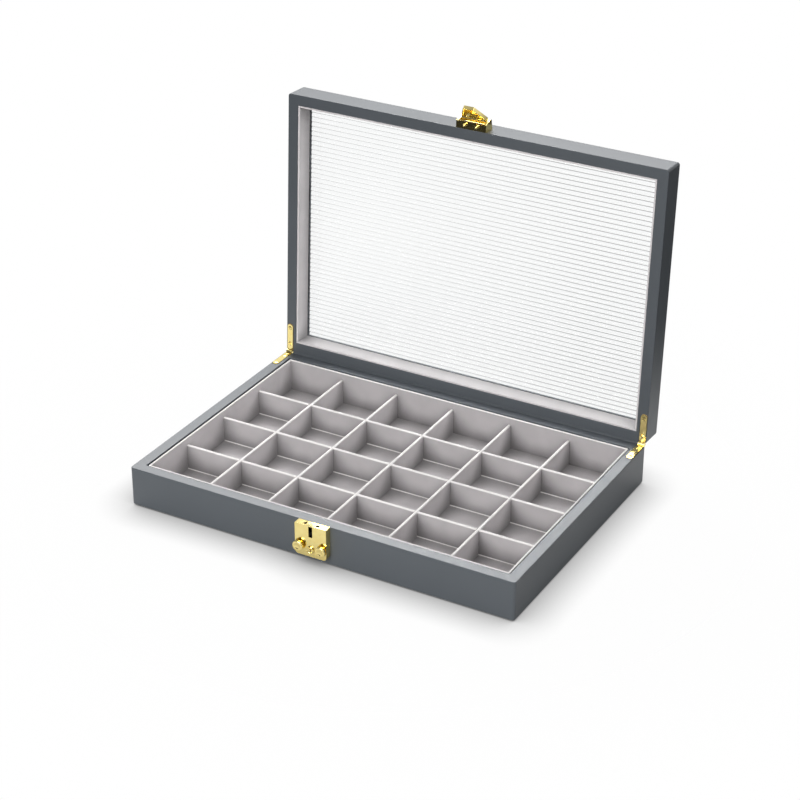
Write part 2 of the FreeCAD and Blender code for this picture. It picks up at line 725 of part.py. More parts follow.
def lock_case():
    """A cast cover, hollow behind, with the hook's slot, the button holes and the guide holes."""
    body = new_body("lock_case")
    plan = new_sketch(body, "lock_plan", "XZ_Plane", HALF_DEPTH)
    draw_rectangle(plan, both_ways(LOCK_HALF), (LOCK_FLOOR, "base_height"))
    pad(body, plan, "lock_depth")
    soften(body, "Fillet", "lock_corner_radius",
           lambda edge: runs_along(edge, 1) and lies_at(edge, 2, LOCK_FLOOR))
    soften(body, "Chamfer", "lock_edge", lambda edge: lies_at(edge, 1, LOCK_FACE))
    hollow = new_sketch(body, "lock_hollow", "XZ_Plane", HALF_DEPTH)
    draw_rectangle(hollow, both_ways(f"{LOCK_HALF} - lock_wall"),
                   (f"{LOCK_FLOOR} + lock_wall", "base_height - lock_wall"))
    pocket(body, hollow, "lock_depth - lock_wall", reverse=True)
    front = new_sketch(body, "lock_front_holes", "XZ_Plane", FACE_OFFSET)
    slot_top = "(base_height - slot_drop)"
    draw_rectangle(front, both_ways("slot_width / 2"), (f"{slot_top} - slot_height", slot_top))
    for sign in SIDES.values():
        draw_circle(front, f"{sign} * button_offset", BUTTON_Z, "stem_radius + stem_clearance")
    draw_circle(front, "0", PLUG_Z, "plug_radius + plug_clearance")
    pocket(body, front, "lock_wall")
    top = new_sketch(body, "lock_guide_holes", "XY_Plane", "base_height")
    for sign in SIDES.values():
        draw_circle(top, f"{sign} * guide_offset", f"{FRONT} - guide_out", "guide_radius + guide_clearance")
    pocket(body, top, "lock_wall")
    subpart("lock_case", body)


def lock_back_plate():
    """The plate behind the works, with two prongs driven through the cover into the front rail."""
    body = new_body("lock_back_plate")
    plan = new_sketch(body, "lock_back_plan", "XZ_Plane", HALF_DEPTH)
    draw_rectangle(plan, both_ways(f"{LOCK_HALF} - lock_wall"),
                   (f"{LOCK_FLOOR} + lock_wall", "base_height - lock_wall"))
    pad(body, plan, "lock_plate")
    add_prongs(body, "lock_prongs", LOCK_PRONG_Z)
    subpart("lock_back_plate", body)


def button(side):
    """A cap on a stem, with a collar behind the case wall and a cone that works the catch."""
    body = new_body(f"{side}_button")
    section = new_sketch(body, f"{side}_button_section", "XY_Plane")
    cap_end = "(-button_travel - button_stand)"
    collar = "(stem_radius + collar_width)"
    collar_end = "(lock_wall + collar_thickness)"
    tip = "(lock_depth - lock_plate - catch_clearance - button_travel)"
    draw_outline(section, [
        ("0", "-button_proud"),
        ("button_radius - button_edge", "-button_proud"),
        ("button_radius", "button_edge - button_proud"),
        ("button_radius", cap_end),
        ("stem_radius", cap_end),
        ("stem_radius", "lock_wall"),
        (collar, "lock_wall"),
        (collar, collar_end),
        ("wedge_radius + wedge_growth", collar_end),
        ("wedge_radius", tip),
        ("0", tip),
    ])
    revolve(body, section)
    place(body, f"{SIDES[side]} * button_offset", LOCK_FACE, BUTTON_Z)
    subpart(f"{side}_button", body)


def key_plug():
    """A turning plug with a keyhole in front and a cam behind."""
    body = new_body("key_plug")
    section = new_sketch(body, "plug_section", "XY_Plane")
    collar = "(lock_wall + plug_clearance)"
    collar_end = f"({collar} + plug_flange)"
    draw_outline(section, [
        ("0", "-plug_proud"),
        ("plug_radius", "-plug_proud"),
        ("plug_radius", collar),
        ("plug_radius + plug_flange", collar),
        ("plug_radius + plug_flange", collar_end),
        ("0", collar_end),
    ])
    revolve(body, section)
    cam = new_sketch(body, "plug_cam", "XZ_Plane", f"-{collar_end} - cam_thickness")
    draw_rectangle(cam, both_ways("cam_width / 2"), ("-plug_radius", "cam_reach"))
    pad(body, cam, "cam_thickness")
    keyhole = new_sketch(body, "plug_keyhole", "XZ_Plane", "plug_proud")
    draw_rectangle(keyhole, both_ways("keyhole_width / 2"), both_ways("keyhole_height / 2"))
    pocket(body, keyhole, "keyhole_depth")
    place(body, "0", LOCK_FACE, PLUG_Z)
    subpart("key_plug", body)


def catch(side):
    """A cranked plate: a foot under the button's cone, an arm up, and a bar that holds the hook."""
    sign = SIDES[side]
    cone = "(wedge_radius + wedge_growth)"
    foot_top = f"({BUTTON_Z} - wedge_radius - catch_clearance)"
    foot_bottom = f"({foot_top} - catch_foot_height)"
    foot_end = f"({sign} * (button_offset + catch_foot_overhang))"
    arm_out = f"({sign} * (button_offset - {cone} - catch_arm_gap))"
    arm_in = f"({sign} * (button_offset - {cone} - catch_arm_gap - catch_arm_width))"
    bar_end = f"({sign} * catch_split / 2)"
    crank = f"({CATCH_TOP} - crank_height)"

    body = new_body(f"{side}_catch")
    lower = new_sketch(body, f"{side}_catch_lower", "XZ_Plane", f"{PLATE_OFFSET} + catch_clearance")
    draw_outline(lower, [(foot_end, foot_bottom), (arm_in, foot_bottom), (arm_in, CATCH_TOP),
                         (arm_out, CATCH_TOP), (arm_out, foot_top), (foot_end, foot_top)])
    pad(body, lower, "catch_thickness")
    middle = new_sketch(body, f"{side}_catch_crank", "XZ_Plane", f"{PLATE_OFFSET} + catch_clearance")
    draw_rectangle(middle, (arm_out, arm_in), (crank, CATCH_TOP))
    pad(body, middle, "lock_depth - lock_wall - lock_plate - 2 * catch_clearance")
    bar = new_sketch(body, f"{side}_catch_bar", "XZ_Plane", f"{BEHIND_WALL} - catch_clearance - catch_thickness")
    draw_rectangle(bar, (arm_out, bar_end), (f"{CATCH_TOP} - catch_bar_height", CATCH_TOP))
    pad(body, bar, "catch_thickness")
    subpart(f"{side}_catch", body)

    seat = (f"{sign} * button_offset",
            f"-{PLATE_OFFSET} - catch_clearance - catch_thickness / 2 - spring_wire",
            f"{LOCK_FLOOR} + lock_wall")
    length = f"{foot_bottom} - {LOCK_FLOOR} - lock_wall"
    coil = rod(f"{side}_spring_outside", "+Z", "spring_radius", length, seat)
    bore = rod(f"{side}_spring_inside", "+Z", "spring_radius - spring_wire", length, seat)
    subpart(f"{side}_catch_spring", cut(f"{side}_catch_spring", coil, [bore]))


lock_case()
lock_back_plate()
key_plug()
for side in SIDES:
    button(side)
    catch(side)


# Catch on the front of the lid

BRACKET_HALF = "(bracket_width / 2)"
FLAP_HALF = f"({BRACKET_HALF} - cheek_thickness - flap_side_gap)"


def guide_pins():
    pins = [rod(f"guide_pin_{side}", "+Z", "guide_radius", "guide_length + bracket_wall",
                (f"{sign} * guide_offset", f"{FRONT} - guide_out", f"{LID_RIM} - guide_length"))
            for side, sign in SIDES.items()]
    subpart("bracket_guide_pins", group("bracket_guide_pins", pins), LID_OPEN)
    return pins


def bracket(pins):
    """A cast bracket: pronged back, lower wall with the guide pins, and two cheeks with ears for the pin."""
    body = new_body("bracket_blank")
    back = new_sketch(body, "bracket_back", "XZ_Plane", HALF_DEPTH)
    draw_rectangle(back, both_ways(BRACKET_HALF), (LID_RIM, f"{LID_RIM} + bracket_height"))
    pad(body, back, "bracket_wall")
    lower = new_sketch(body, "bracket_lower", "XZ_Plane", HALF_DEPTH)
    draw_rectangle(lower, both_ways(BRACKET_HALF), (LID_RIM, f"{LID_RIM} + bracket_wall"))
    pad(body, lower, "lock_depth")
    for side, start in (("left", f"-{BRACKET_HALF}"), ("right", f"{BRACKET_HALF} - cheek_thickness")):
        cheek = new_sketch(body, f"bracket_cheek_{side}", "YZ_Plane", start)
        draw_rectangle(cheek, (f"{FRONT} - lock_depth", FRONT), (LID_RIM, f"{LID_RIM} + bracket_height"))
        pad(body, cheek, "cheek_thickness")
        ear = new_sketch(body, f"bracket_ear_{side}", "YZ_Plane", start)
        draw_circle(ear, FLAP_Y, FLAP_Z, "ear_radius")
        pad(body, ear, "cheek_thickness")
    bore = new_sketch(body, "bracket_bore", "YZ_Plane", BRACKET_HALF)
    draw_circle(bore, FLAP_Y, FLAP_Z, "pin_radius")
    pocket(body, bore, "bracket_width")
    add_prongs(body, "bracket_prongs", BRACKET_PRONG_Z)
    subpart("catch_bracket", cut("catch_bracket", body, pins), LID_OPEN)


def flap():
    """A tapered flap, hollow behind, with a barrel at its top and the hook in its middle."""
    inside = "(box_depth / 2 + lock_depth + flap_gap)"
    tip_z = f"({FLAP_Z} - flap_length)"
    shoulder_z = f"({FLAP_Z} - flap_shoulder)"
    tip_half = "(flap_tip_width / 2)"
    body = new_body("catch_flap")
    plan = new_sketch(body, "flap_plan", "XZ_Plane", inside)
    draw_outline(plan, [(f"-{FLAP_HALF}", FLAP_Z), (f"-{FLAP_HALF}", shoulder_z), (f"-{tip_half}", tip_z),
                        (tip_half, tip_z), (FLAP_HALF, shoulder_z), (FLAP_HALF, FLAP_Z)])
    pad(body, plan, "flap_wall + flap_thickness")
    soften(body, "Fillet", "flap_tip_radius", lambda edge: runs_along(edge, 1) and lies_at(edge, 2, tip_z))
    hollow = new_sketch(body, "flap_hollow", "XZ_Plane", inside)
    inner_half = f"({FLAP_HALF} - flap_edge)"
    inner_tip = f"({tip_half} - flap_edge / 2)"
    draw_outline(hollow, [(f"-{inner_half}", f"{FLAP_Z} - flap_barrel_radius"),
                          (f"-{inner_half}", shoulder_z), (f"-{inner_tip}", f"{tip_z} + flap_edge"),
                          (inner_tip, f"{tip_z} + flap_edge"), (inner_half, shoulder_z),
                          (inner_half, f"{FLAP_Z} - flap_barrel_radius")])
    pocket(body, hollow, "flap_wall", reverse=True)
    barrel = new_sketch(body, "flap_barrel", "YZ_Plane", f"-{FLAP_HALF}")
    draw_circle(barrel, FLAP_Y, FLAP_Z, "flap_barrel_radius")
    pad(body, barrel, f"2 * {FLAP_HALF}")

    hook = new_sketch(body, "flap_hook", "YZ_Plane", "-hook_width / 2")
    root = f"(-{inside} - flap_wall)"
    hook_bottom = f"({CATCH_TOP} - hook_bite)"
    hook_top = f"({hook_bottom} + hook_height)"
    notch_front = f"(-{BEHIND_WALL})"
    notch_back = f"(-{BEHIND_WALL} + 2 * catch_clearance + catch_thickness + hook_relief)"
    notch_top = f"({CATCH_TOP} + hook_relief)"
    nose = f"({notch_back} + hook_nose)"
    draw_outline(hook, [(root, hook_top), (nose, hook_top), (nose, hook_bottom), (notch_back, hook_bottom),
                        (notch_back, notch_top), (notch_front, notch_top), (notch_front, hook_bottom),
                        (root, hook_bottom)])
    pad(body, hook, "hook_width")
    bore = new_sketch(body, "flap_bore", "YZ_Plane", FLAP_HALF)
    draw_circle(bore, FLAP_Y, FLAP_Z, "pin_radius + pin_clearance")
    pocket(body, bore, f"2 * {FLAP_HALF}")
    subpart("catch_flap", body, FLAP_OPEN)


def catch_pin():
    body = new_body("catch_pin")
    section = new_sketch(body, "catch_pin_section", "YZ_Plane", f"-{BRACKET_HALF}")
    draw_circle(section, FLAP_Y, FLAP_Z, "pin_radius")
    pad(body, section, "bracket_width")
    subpart("catch_pin", body, LID_OPEN)


bracket(guide_pins())
catch_pin()
flap()


# Check every object, then write the pieces

doc.recompute()
for thing in doc.Objects:
    if "Invalid" in thing.State or "Error" in thing.State:
        raise RuntimeError(f"{thing.Label} failed: {thing.State}")
for piece in subparts:
    if piece.Shape.isNull() or not piece.Shape.isValid():
        raise RuntimeError(f"{piece.Label} has no valid shape")

os.makedirs("parts", exist_ok=True)
for piece in subparts:
    piece.Shape.exportStep(f"parts/{piece.Label}.step")
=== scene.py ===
"""Looks of a leather-covered jewelry box with a reeded window in its lid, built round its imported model.

Lengths are in metres, and angles in degrees unless a name says otherwise.
"""

import json
import math

import bmesh
import bpy
from mathutils import Matrix, Vector


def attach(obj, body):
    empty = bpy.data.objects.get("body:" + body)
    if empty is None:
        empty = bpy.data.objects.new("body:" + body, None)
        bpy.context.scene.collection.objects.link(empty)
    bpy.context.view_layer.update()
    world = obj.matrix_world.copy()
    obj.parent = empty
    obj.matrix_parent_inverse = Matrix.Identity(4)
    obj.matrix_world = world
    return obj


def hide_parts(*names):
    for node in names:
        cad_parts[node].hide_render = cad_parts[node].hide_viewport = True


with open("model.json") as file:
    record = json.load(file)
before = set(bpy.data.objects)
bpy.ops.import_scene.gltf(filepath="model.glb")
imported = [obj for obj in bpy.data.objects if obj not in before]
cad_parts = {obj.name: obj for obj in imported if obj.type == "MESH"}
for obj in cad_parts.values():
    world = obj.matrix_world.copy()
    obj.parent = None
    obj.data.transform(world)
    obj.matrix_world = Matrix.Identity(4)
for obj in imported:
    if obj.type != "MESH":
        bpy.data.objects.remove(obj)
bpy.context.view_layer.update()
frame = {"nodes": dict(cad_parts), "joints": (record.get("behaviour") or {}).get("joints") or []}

bl_info = {
    "name": "Leather Jewelry Box",
    "version": (1, 0, 0),
    "blender": (4, 5, 0),
    "location": "View3D > Sidebar > Jewelry Box",
    "description": "Builds the covers, velvet tray, reeded window and brass fittings of a jewelry box",
    "category": "Object",
}


# Places read from the frame

def joint(name):
    """A joint of the frame by its name."""
    return next(entry for entry in frame["joints"] if entry["name"] == name)


def swing(name, degrees):
    """Turn about a hinge as it lies in the pose at rest."""
    hinge = joint(name)
    place = Matrix.Translation(Vector(hinge["pos_m"]))
    return place @ Matrix.Rotation(math.radians(degrees), 4, Vector(hinge["axis"])) @ place.inverted()


# Pieces of the lid and its flap are drawn in the closed box and then swung to the pose at rest.
REST = Matrix.Identity(4)
LID_OPEN = swing("lid_hinge", -joint("lid_hinge")["range_deg"][1])
FLAP_OPEN = swing("flap_hinge", -joint("flap_hinge")["range_deg"][1]) @ LID_OPEN


def closed_box(node, pose=REST):
    """Lowest and highest corner of a CAD node as it lies in the closed box."""
    back = pose.inverted()
    points = [back @ vertex.co for vertex in frame["nodes"][node].data.vertices]
    low = Vector([min(point[axis] for point in points) for axis in range(3)])
    high = Vector([max(point[axis] for point in points) for axis in range(3)])
    return low, high


HINGE = joint("lid_hinge")["pos_m"][1:]
HINGE_Y = HINGE[0]
BASE_LOW, BASE_HIGH = closed_box("base_leather_cover")
LID_LOW, LID_HIGH = closed_box("lid_leather_cover", LID_OPEN)
TRAY_LOW, TRAY_HIGH = closed_box("tray_floor")
FLAP_PIN = LID_OPEN.inverted() @ Vector(joint("flap_hinge")["pos_m"])


# Sizes and colours that a user may change

def linear(code):
    """Linear colour of an sRGB hex code."""
    parts = [int(code[start:start + 2], 16) / 255 for start in (1, 3, 5)]
    return [part / 12.92 if part <= 0.04045 else ((part + 0.055) / 1.055) ** 2.4 for part in parts]


def length(label, meaning, millimetres):
    """A length setting, given in millimetres and kept in metres."""
    return bpy.props.FloatProperty(name=label, description=meaning, default=millimetres / 1000, min=0.0,
                                   precision=5, subtype="DISTANCE", unit="LENGTH")


def colour(label, meaning, code):
    """A colour setting, given as an sRGB hex code."""
    return bpy.props.FloatVectorProperty(name=label, description=meaning, default=linear(code), size=3,
                                         min=0.0, max=1.0, subtype="COLOR")


class JewelBoxSizes(bpy.types.PropertyGroup):
    """Sizes of the soft and finished shapes."""

    corner_radius: length("Corner radius", "Upright corners of both covers", 2.4)
    rim_radius: length("Rim radius", "Soft outer edge of both rims", 0.55)
    rim_inner_radius: length("Inner rim radius", "Edge where the leather turns into the box", 0.6)
    rim_width: length("Rim width", "Covered rail, outside to inside", 9.5)
    base_edge_radius: length("Base edge radius", "Lower edge of the base", 1.6)
    lid_edge_radius: length("Lid edge radius", "Upper edge of the lid", 2.0)
    turn_in: length("Turn-in", "Leather turned under the base, below the felt", 30.0)
    bead_radius: length("Bead radius", "Leather bead along the hinge side of the base", 0.47)
    lip_width: length("Lip width", "Overhang of the lid over its pane", 1.6)
    lip_radius: length("Lip radius", "Roll of the leather over the lip, seen from above", 2.2)
    pile_radius: length("Pile radius", "Round of the velvet over the top of a board", 0.85)
    pad_rise: length("Pad rise", "Swell of the floor pad inside each compartment", 0.7)
    foot_height: length("Foot height", "Bare board under the velvet of a long divider", 1.0)
    metal_bevel: length("Metal bevel", "Polished-off edges of the brass", 0.3)
    dish_depth: length("Dish depth", "Hollow of a button's cap", 0.6)
    screw_radius: length("Screw radius", "Heads of the hinge screws", 1.55)


class JewelBoxColours(bpy.types.PropertyGroup):
    """Colours of the materials."""

    leather: colour("Leather", "Slate grey coating of the covers", "#4e5358")
    velvet: colour("Velvet", "Warm grey pile of the tray and linings", "#c2bebf")
    # This colour is a painted highlight along the tops of the boards, and the bare board at the feet of the
    # long dividers.
    velvet_edge_highlight_and_foot: colour("Velvet edge", "Pale roots that show where the pile opens", "#e6e3e1")
    brass: colour("Brass", "Pale gold plating of the fittings", "#fff0aa")
    brass_tarnish: colour("Brass tarnish", "Warmer tone in the plating", "#f8de8a")
    acrylic: colour("Acrylic", "Clear pane", "#fcfdfd")
    felt: colour("Felt", "Sheet under the base", "#3c3e41")
    board: colour("Board", "Fibreboard of rails and bottom", "#b39468")
    # On the back plate of the lock this near-black is painted shade.
    steel: colour("Steel", "Blackened springs, catches and back plate of the lock", "#2a2a2b")
    floor: colour("Floor", "Studio floor", "#cfcfce")


def sizes():
    """Sizes as they are set in the scene."""
    return bpy.context.scene.jewel_box_sizes


def colours():
    """Colours as they are set in the scene."""
    return bpy.context.scene.jewel_box_colours


# Shapes

# Cutting solids reach this far past what they cut.
PAST = 0.001
LEAST_CORNER = 0.0003


def arc(middle, radius, start, end, steps=5):
    """Points on an arc, with its angles in degrees."""
    angles = [math.radians(start + (end - start) * step / steps) for step in range(steps + 1)]
    return [(middle[0] + radius * math.cos(angle), middle[1] + radius * math.sin(angle)) for angle in angles]


def circle(middle, radius, steps):
    return arc(middle, radius, 0, 360, steps)[:-1]


def rectangle(low, high):
    return [(low[0], low[1]), (high[0], low[1]), (high[0], high[1]), (low[0], high[1])]


def rounded_rectangle(half_x, half_y, radius, steps):
    """Points round a rectangle about the origin, with round corners."""
    points = []
    for turn, (across, upward) in enumerate(((1, 1), (-1, 1), (-1, -1), (1, -1))):
        middle = (across * (half_x - radius), upward * (half_y - radius))
        points += arc(middle, radius, 90 * turn, 90 * turn + 90, steps)
    return points


def loop_at(bm, points, axis, along):
    """Vertices round a flat outline, at its place along the axis square to it."""
    order = {"x": (2, 0, 1), "y": (0, 2, 1), "z": (0, 1, 2)}[axis]
    return [bm.verts.new([(*point, along)[number] for number in order]) for point in points]


def band(bm, one, other):
    """Faces between two closed loops; a loop of one vertex closes the end."""
    count = max(len(one), len(other))
    for step in range(count):
        after = (step + 1) % count
        corners = [one[step % len(one)], one[after % len(one)]]
        corners += [other[after % len(other)], other[step % len(other)]]
        bm.faces.new(list(dict.fromkeys(corners)))


def prism(bm, points, axis, start, end):
    """A flat outline drawn out along an axis."""
    loops = [loop_at(bm, points, axis, along) for along in (start, end)]
    band(bm, *loops)
    for loop in loops:
        bm.faces.new(loop)


def block(bm, low, high):
    prism(bm, rectangle(low[:2], high[:2]), "z", low[2], high[2])


def turned(bm, profile, axis, middle, steps):
    """A closed profile of radius and place along the axis, turned about that axis."""
    loops = []
    for radius, along in profile:
        points = circle(middle, radius, steps) if radius else [middle]
        loops.append(loop_at(bm, points, axis, along))
    for one, other in zip(loops, loops[1:]):
        band(bm, one, other)


def frame_ring(bm, profile, half_x, half_y, corner, steps=7):
    """A closed profile of inset and height, swept round a box with round corners."""
    loops = []
    for inset, height in profile:
        radius = max(corner - inset, LEAST_CORNER)
        points = rounded_rectangle(half_x - inset, half_y - inset, radius, steps)
        loops.append(loop_at(bm, points, "z", height))
    for one, other in zip(loops, loops[1:] + loops[:1]):
        band(bm, one, other)


# Objects

SHARP_ANGLE = math.radians(35)


def solid(name, draw, *arguments):
    """An object made of the closed mesh that a drawing function adds."""
    bm = bmesh.new()
    draw(bm, *arguments)
    bmesh.ops.recalc_face_normals(bm, faces=bm.faces)
    mesh = bpy.data.meshes.new(name)
    bm.to_mesh(mesh)
    bm.free()
    piece = bpy.data.objects.new(name, mesh)
    bpy.context.scene.collection.objects.link(piece)
    return piece


def rod(name, middle, radius, steps, axis, start, end):
    """A round bar, or the tool of a round hole."""
    return solid(name, prism, circle(middle, radius, steps), axis, start, end)


def combine(piece, tools, operation):
    """Join solids to a piece or cut them out of it, and drop them."""
    for tool in tools:
        step = piece.modifiers.new("combine", "BOOLEAN")
        step.operation = operation
        step.solver = "EXACT"
        step.object = tool
    graph = bpy.context.evaluated_depsgraph_get()
    mesh = bpy.data.meshes.new_from_object(piece.evaluated_get(graph))
    if not mesh.polygons:
        raise RuntimeError(f"{piece.name}: nothing is left of it")
    piece.modifiers.clear()
    used = [piece.data] + [tool.data for tool in tools]
    piece.data = mesh
    for tool in tools:
        bpy.data.objects.remove(tool)
    for old in used:
        bpy.data.meshes.remove(old)


def smooth(piece, bevel):
    """Shade a piece smooth between its sharp edges, which are polished off where a bevel is given."""
    piece.data.shade_smooth()
    piece.data.set_sharp_from_angle(angle=SHARP_ANGLE)
    if bevel:
        edges = piece.modifiers.new("soft edges", "BEVEL")
        edges.width = bevel
        edges.segments = 3
        edges.limit_method = "ANGLE"
        edges.angle_limit = SHARP_ANGLE
        edges.harden_normals = True
    else:
        even = piece.modifiers.new("even shading", "WEIGHTED_NORMAL")
        even.keep_sharp = True


def settle(piece, material, body, nodes, pose=REST, bevel=0.0):
    """Smooth a piece and give it its material and its place on a body, where it stands for CAD nodes."""
    smooth(piece, bevel)
    piece.data.materials.clear()
    piece.data.materials.append(material)
    piece.matrix_world = pose
    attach(piece, body)
    if nodes:
        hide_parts(*nodes)


def finish_node(name, material):
    """Give a CAD node that stays in sight its material."""
    mesh = frame["nodes"][name].data
    mesh.materials.clear()
    mesh.materials.append(material)


# Materials

def add_node(tree, kind, inputs=None, **settings):
    """Add a shader node with its settings; an input is a value or the socket that feeds it."""
    made = tree.nodes.new("ShaderNode" + kind)
    for name, setting in settings.items():
        setattr(made, name, setting)
    for name, given in (inputs or {}).items():
        if isinstance(given, bpy.types.NodeSocket):
            tree.links.new(given, made.inputs[name])
        else:
            made.inputs[name].default_value = given
    return made


def noise(tree, where, scale, detail, distortion=0.0):
    """A cloudy pattern of numbers from 0 to 1."""
    return add_node(tree, "TexNoise", {"Vector": where, "Scale": scale, "Detail": detail,
                                       "Distortion": distortion}).outputs["Fac"]


def calculate(tree, operation, one, other):
    """Two numbers put together by an operation."""
    return add_node(tree, "Math", {0: one, 1: other}, operation=operation).outputs[0]


def spread(tree, number, target, source=(0.0, 1.0), curve="LINEAR"):
    """A number carried from one range to another."""
    return add_node(tree, "MapRange", {
        "Value": number, "From Min": source[0], "From Max": source[1], "To Min": target[0],
        "To Max": target[1]}, interpolation_type=curve).outputs["Result"]


def shade(value, factor):
    """A colour made lighter or darker, with full alpha."""
    return [min(1.0, part * factor) for part in value] + [1.0]


def blend(tree, pattern, one, other, mode="MIX"):
    """Two colours mixed by a pattern."""
    return add_node(tree, "Mix", {0: pattern, 6: one, 7: other}, data_type="RGBA",
                    blend_type=mode).outputs[2]


def two_tone(tree, pattern, value, start, end):
    """A colour that a pattern takes from one shade to another."""
    return blend(tree, pattern, shade(value, start), shade(value, end))


def raised(tree, pattern, strength, height):
    """Normals of a surface that a pattern raises."""
    return add_node(tree, "Bump", {"Height": pattern, "Strength": strength,
                                   "Distance": height}).outputs["Normal"]


def material(name):
    """Let a function that fills a node tree give the material of this name, filled in once."""
    def given_by(fill):
        def give():
            found = bpy.data.materials.get(name)
            if found is None:
                found = bpy.data.materials.new(name)
                found.use_nodes = True
                tree = found.node_tree
                tree.nodes.clear()
                surface = fill(tree, add_node(tree, "TexCoord").outputs["Object"])
                add_node(tree, "OutputMaterial", {"Surface": surface.outputs[0]})
            return found
        return give
    return given_by


@material("pu_leather_rolled_satin")
def leather(tree, where):
    """Polyurethane-coated leather, rolled smooth: an even satin skin that brightens at a low angle."""
    # Slow mottling over about 60 mm keeps the broad faces from looking painted.
    mottle = noise(tree, where, 16.0, 3.0)
    # Pebble grain of the rollers; its cells are about 0.6 mm and are drawn at 1.1 mm.
    grain = add_node(tree, "TexVoronoi", {"Vector": where, "Scale": 900.0}, feature="SMOOTH_F1")
    return add_node(tree, "BsdfPrincipled", {
        "Base Color": two_tone(tree, mottle, colours().leather, 0.93, 1.07),
        "Roughness": spread(tree, mottle, (0.36, 0.44)), "IOR": 1.5,
        "Normal": raised(tree, grain.outputs["Distance"], 0.12, 0.0001)})


@material("velveteen_short_pile_glued")
def velvet(tree, where):
    """Short-pile velveteen glued over board: soft grey, stroked in patches, with painted shade, side light
    and edge highlights.
    """
    # Stroked nap lies one way or the other in patches of about 25 mm.
    nap = noise(tree, where, 40.0, 2.0, 0.6)
    stroked = two_tone(tree, nap, colours().velvet, 0.86, 1.12)
    # Tufts are about 0.2 mm across and are drawn at 0.7 mm.
    tufts = add_node(tree, "TexNoise", {"Vector": where, "Scale": 1400.0, "Detail": 2.0}).outputs
    flecked = blend(tree, 0.12, stroked, tufts["Color"], "SOFT_LIGHT")
    # Painted shade: the colour darkens in corners, within about 20 mm of them, by ambient occlusion.
    corner = add_node(tree, "AmbientOcclusion", {"Distance": 0.02}, samples=8)
    depth = spread(tree, corner.outputs["AO"], (0.45, 1.0), (0.4, 0.85))
    # Painted side light: faces turned left or right are made lighter, faces turned to the front or back
    # darker, and upward faces a little lighter.
    facing = add_node(tree, "TexCoord").outputs["Normal"]
    across = add_node(tree, "VectorMath", {0: facing, 1: facing}, operation="MULTIPLY")
    painted_side_light = add_node(tree, "VectorMath", {0: across.outputs[0], 1: (1.3, 0.83, 1.18)}, operation="DOT_PRODUCT")
    level = calculate(tree, "MULTIPLY", depth, painted_side_light.outputs["Value"])
    shaded = blend(tree, 1.0, flecked, level, "MULTIPLY")
    # The pale attribute carries the painted highlight on board tops, and the bare foot of the long dividers.
    edge_highlight_and_bare_foot = add_node(tree, "Attribute", attribute_name="pale").outputs["Fac"]
    return add_node(tree, "BsdfPrincipled", {
        "Base Color": blend(tree, edge_highlight_and_bare_foot, shaded, shade(colours().velvet_edge_highlight_and_foot, 1.0)), "Roughness": 0.95,
        "Specular IOR Level": 0.2, "Sheen Weight": 0.35, "Sheen Roughness": 0.45,
        "Normal": raised(tree, tufts["Fac"], 0.35, 0.0003)})


@material("cast_metal_brass_plated_polished")
def brass(tree, where):
    """Die-cast metal, polished and brass-plated: a pale gold mirror, slightly broken by the casting."""
    # Waves of the casting under the polish, about 4 mm long.
    cast = noise(tree, where, 260.0, 2.0)
    tone = blend(tree, cast, shade(colours().brass, 1.0), shade(colours().brass_tarnish, 1.0))
    return add_node(tree, "BsdfPrincipled", {
        "Base Color": tone, "Metallic": 1.0, "Roughness": spread(tree, cast, (0.1, 0.2)),
        "Normal": raised(tree, cast, 0.1, 0.0002)})


@material("acrylic_extruded_reeded_clear")
def acrylic(tree, where):
    """Clear acrylic, extruded with reeds: near colourless, with a painted shade line along each groove."""
    place = add_node(tree, "SeparateXYZ", {0: where}).outputs
    low, high = closed_box("window_pane", LID_OPEN)
    # A groove every 4.2 mm gets a painted shade line; the line is about 0.3 mm and is drawn at 0.6 mm.
    along = calculate(tree, "SUBTRACT", place["Y"], reed_row(low, high)[1])
    count = calculate(tree, "DIVIDE", along, REED_PITCH)
    line = spread(tree, calculate(tree, "PINGPONG", count, 0.5), (1.0, 0.0), (0.02, 0.13))
    # The painted lines are darkest next to the frame and fade out with the distance to a point left of the
    # middle.
    shallow = add_node(tree, "VectorMath", {0: where, 1: (low.x * 0.55, 0.01, low.z)}, operation="DISTANCE")
    painted_line_strength = spread(tree, shallow.outputs["Value"], (0.25, 0.9), (0.02, 0.2))
    depth = calculate(tree, "MULTIPLY", line, painted_line_strength)
    # Only the inner face has grooves.
    inner = calculate(tree, "LESS_THAN", place["Z"], low.z + 2 * REED_RISE)
    tone = two_tone(tree, calculate(tree, "MULTIPLY", depth, inner), colours().acrylic, 1.0, 0.03)
    pane = add_node(tree, "BsdfPrincipled", {
        "Base Color": tone, "Roughness": 0.0, "IOR": 1.49, "Transmission Weight": 1.0})
    # The pane lets lamp light through to the tray, less what faces and reeds throw aside.
    path = add_node(tree, "LightPath")
    clear = add_node(tree, "BsdfTransparent", {"Color": shade(colours().acrylic, 0.62)})
    return add_node(tree, "MixShader", {0: path.outputs["Is Shadow Ray"], 1: pane.outputs[0],
                                        2: clear.outputs[0]})


@material("wool_blend_felt_pressed")
def felt(tree, where):
    """Pressed felt: a matt sheet of tangled fibres that takes the light evenly."""
    # Fibres are about 0.05 mm thick and are drawn at 0.8 mm.
    fibres = noise(tree, where, 1200.0, 4.0, 2.0)
    return add_node(tree, "BsdfPrincipled", {
        "Base Color": two_tone(tree, fibres, colours().felt, 0.7, 1.3), "Roughness": 1.0,
        "Specular IOR Level": 0.2, "Sheen Weight": 0.2, "Normal": raised(tree, fibres, 0.5, 0.0003)})


@material("fibreboard_sawn")
def fibreboard(tree, where):
    """Sawn fibreboard: dull tan with short fibres, hidden under the covers."""
    # Fibres are about 2 mm long.
    fibres = noise(tree, where, 500.0, 5.0)
    return add_node(tree, "BsdfPrincipled", {
        "Base Color": two_tone(tree, fibres, colours().board, 0.8, 1.15), "Roughness": 0.9})


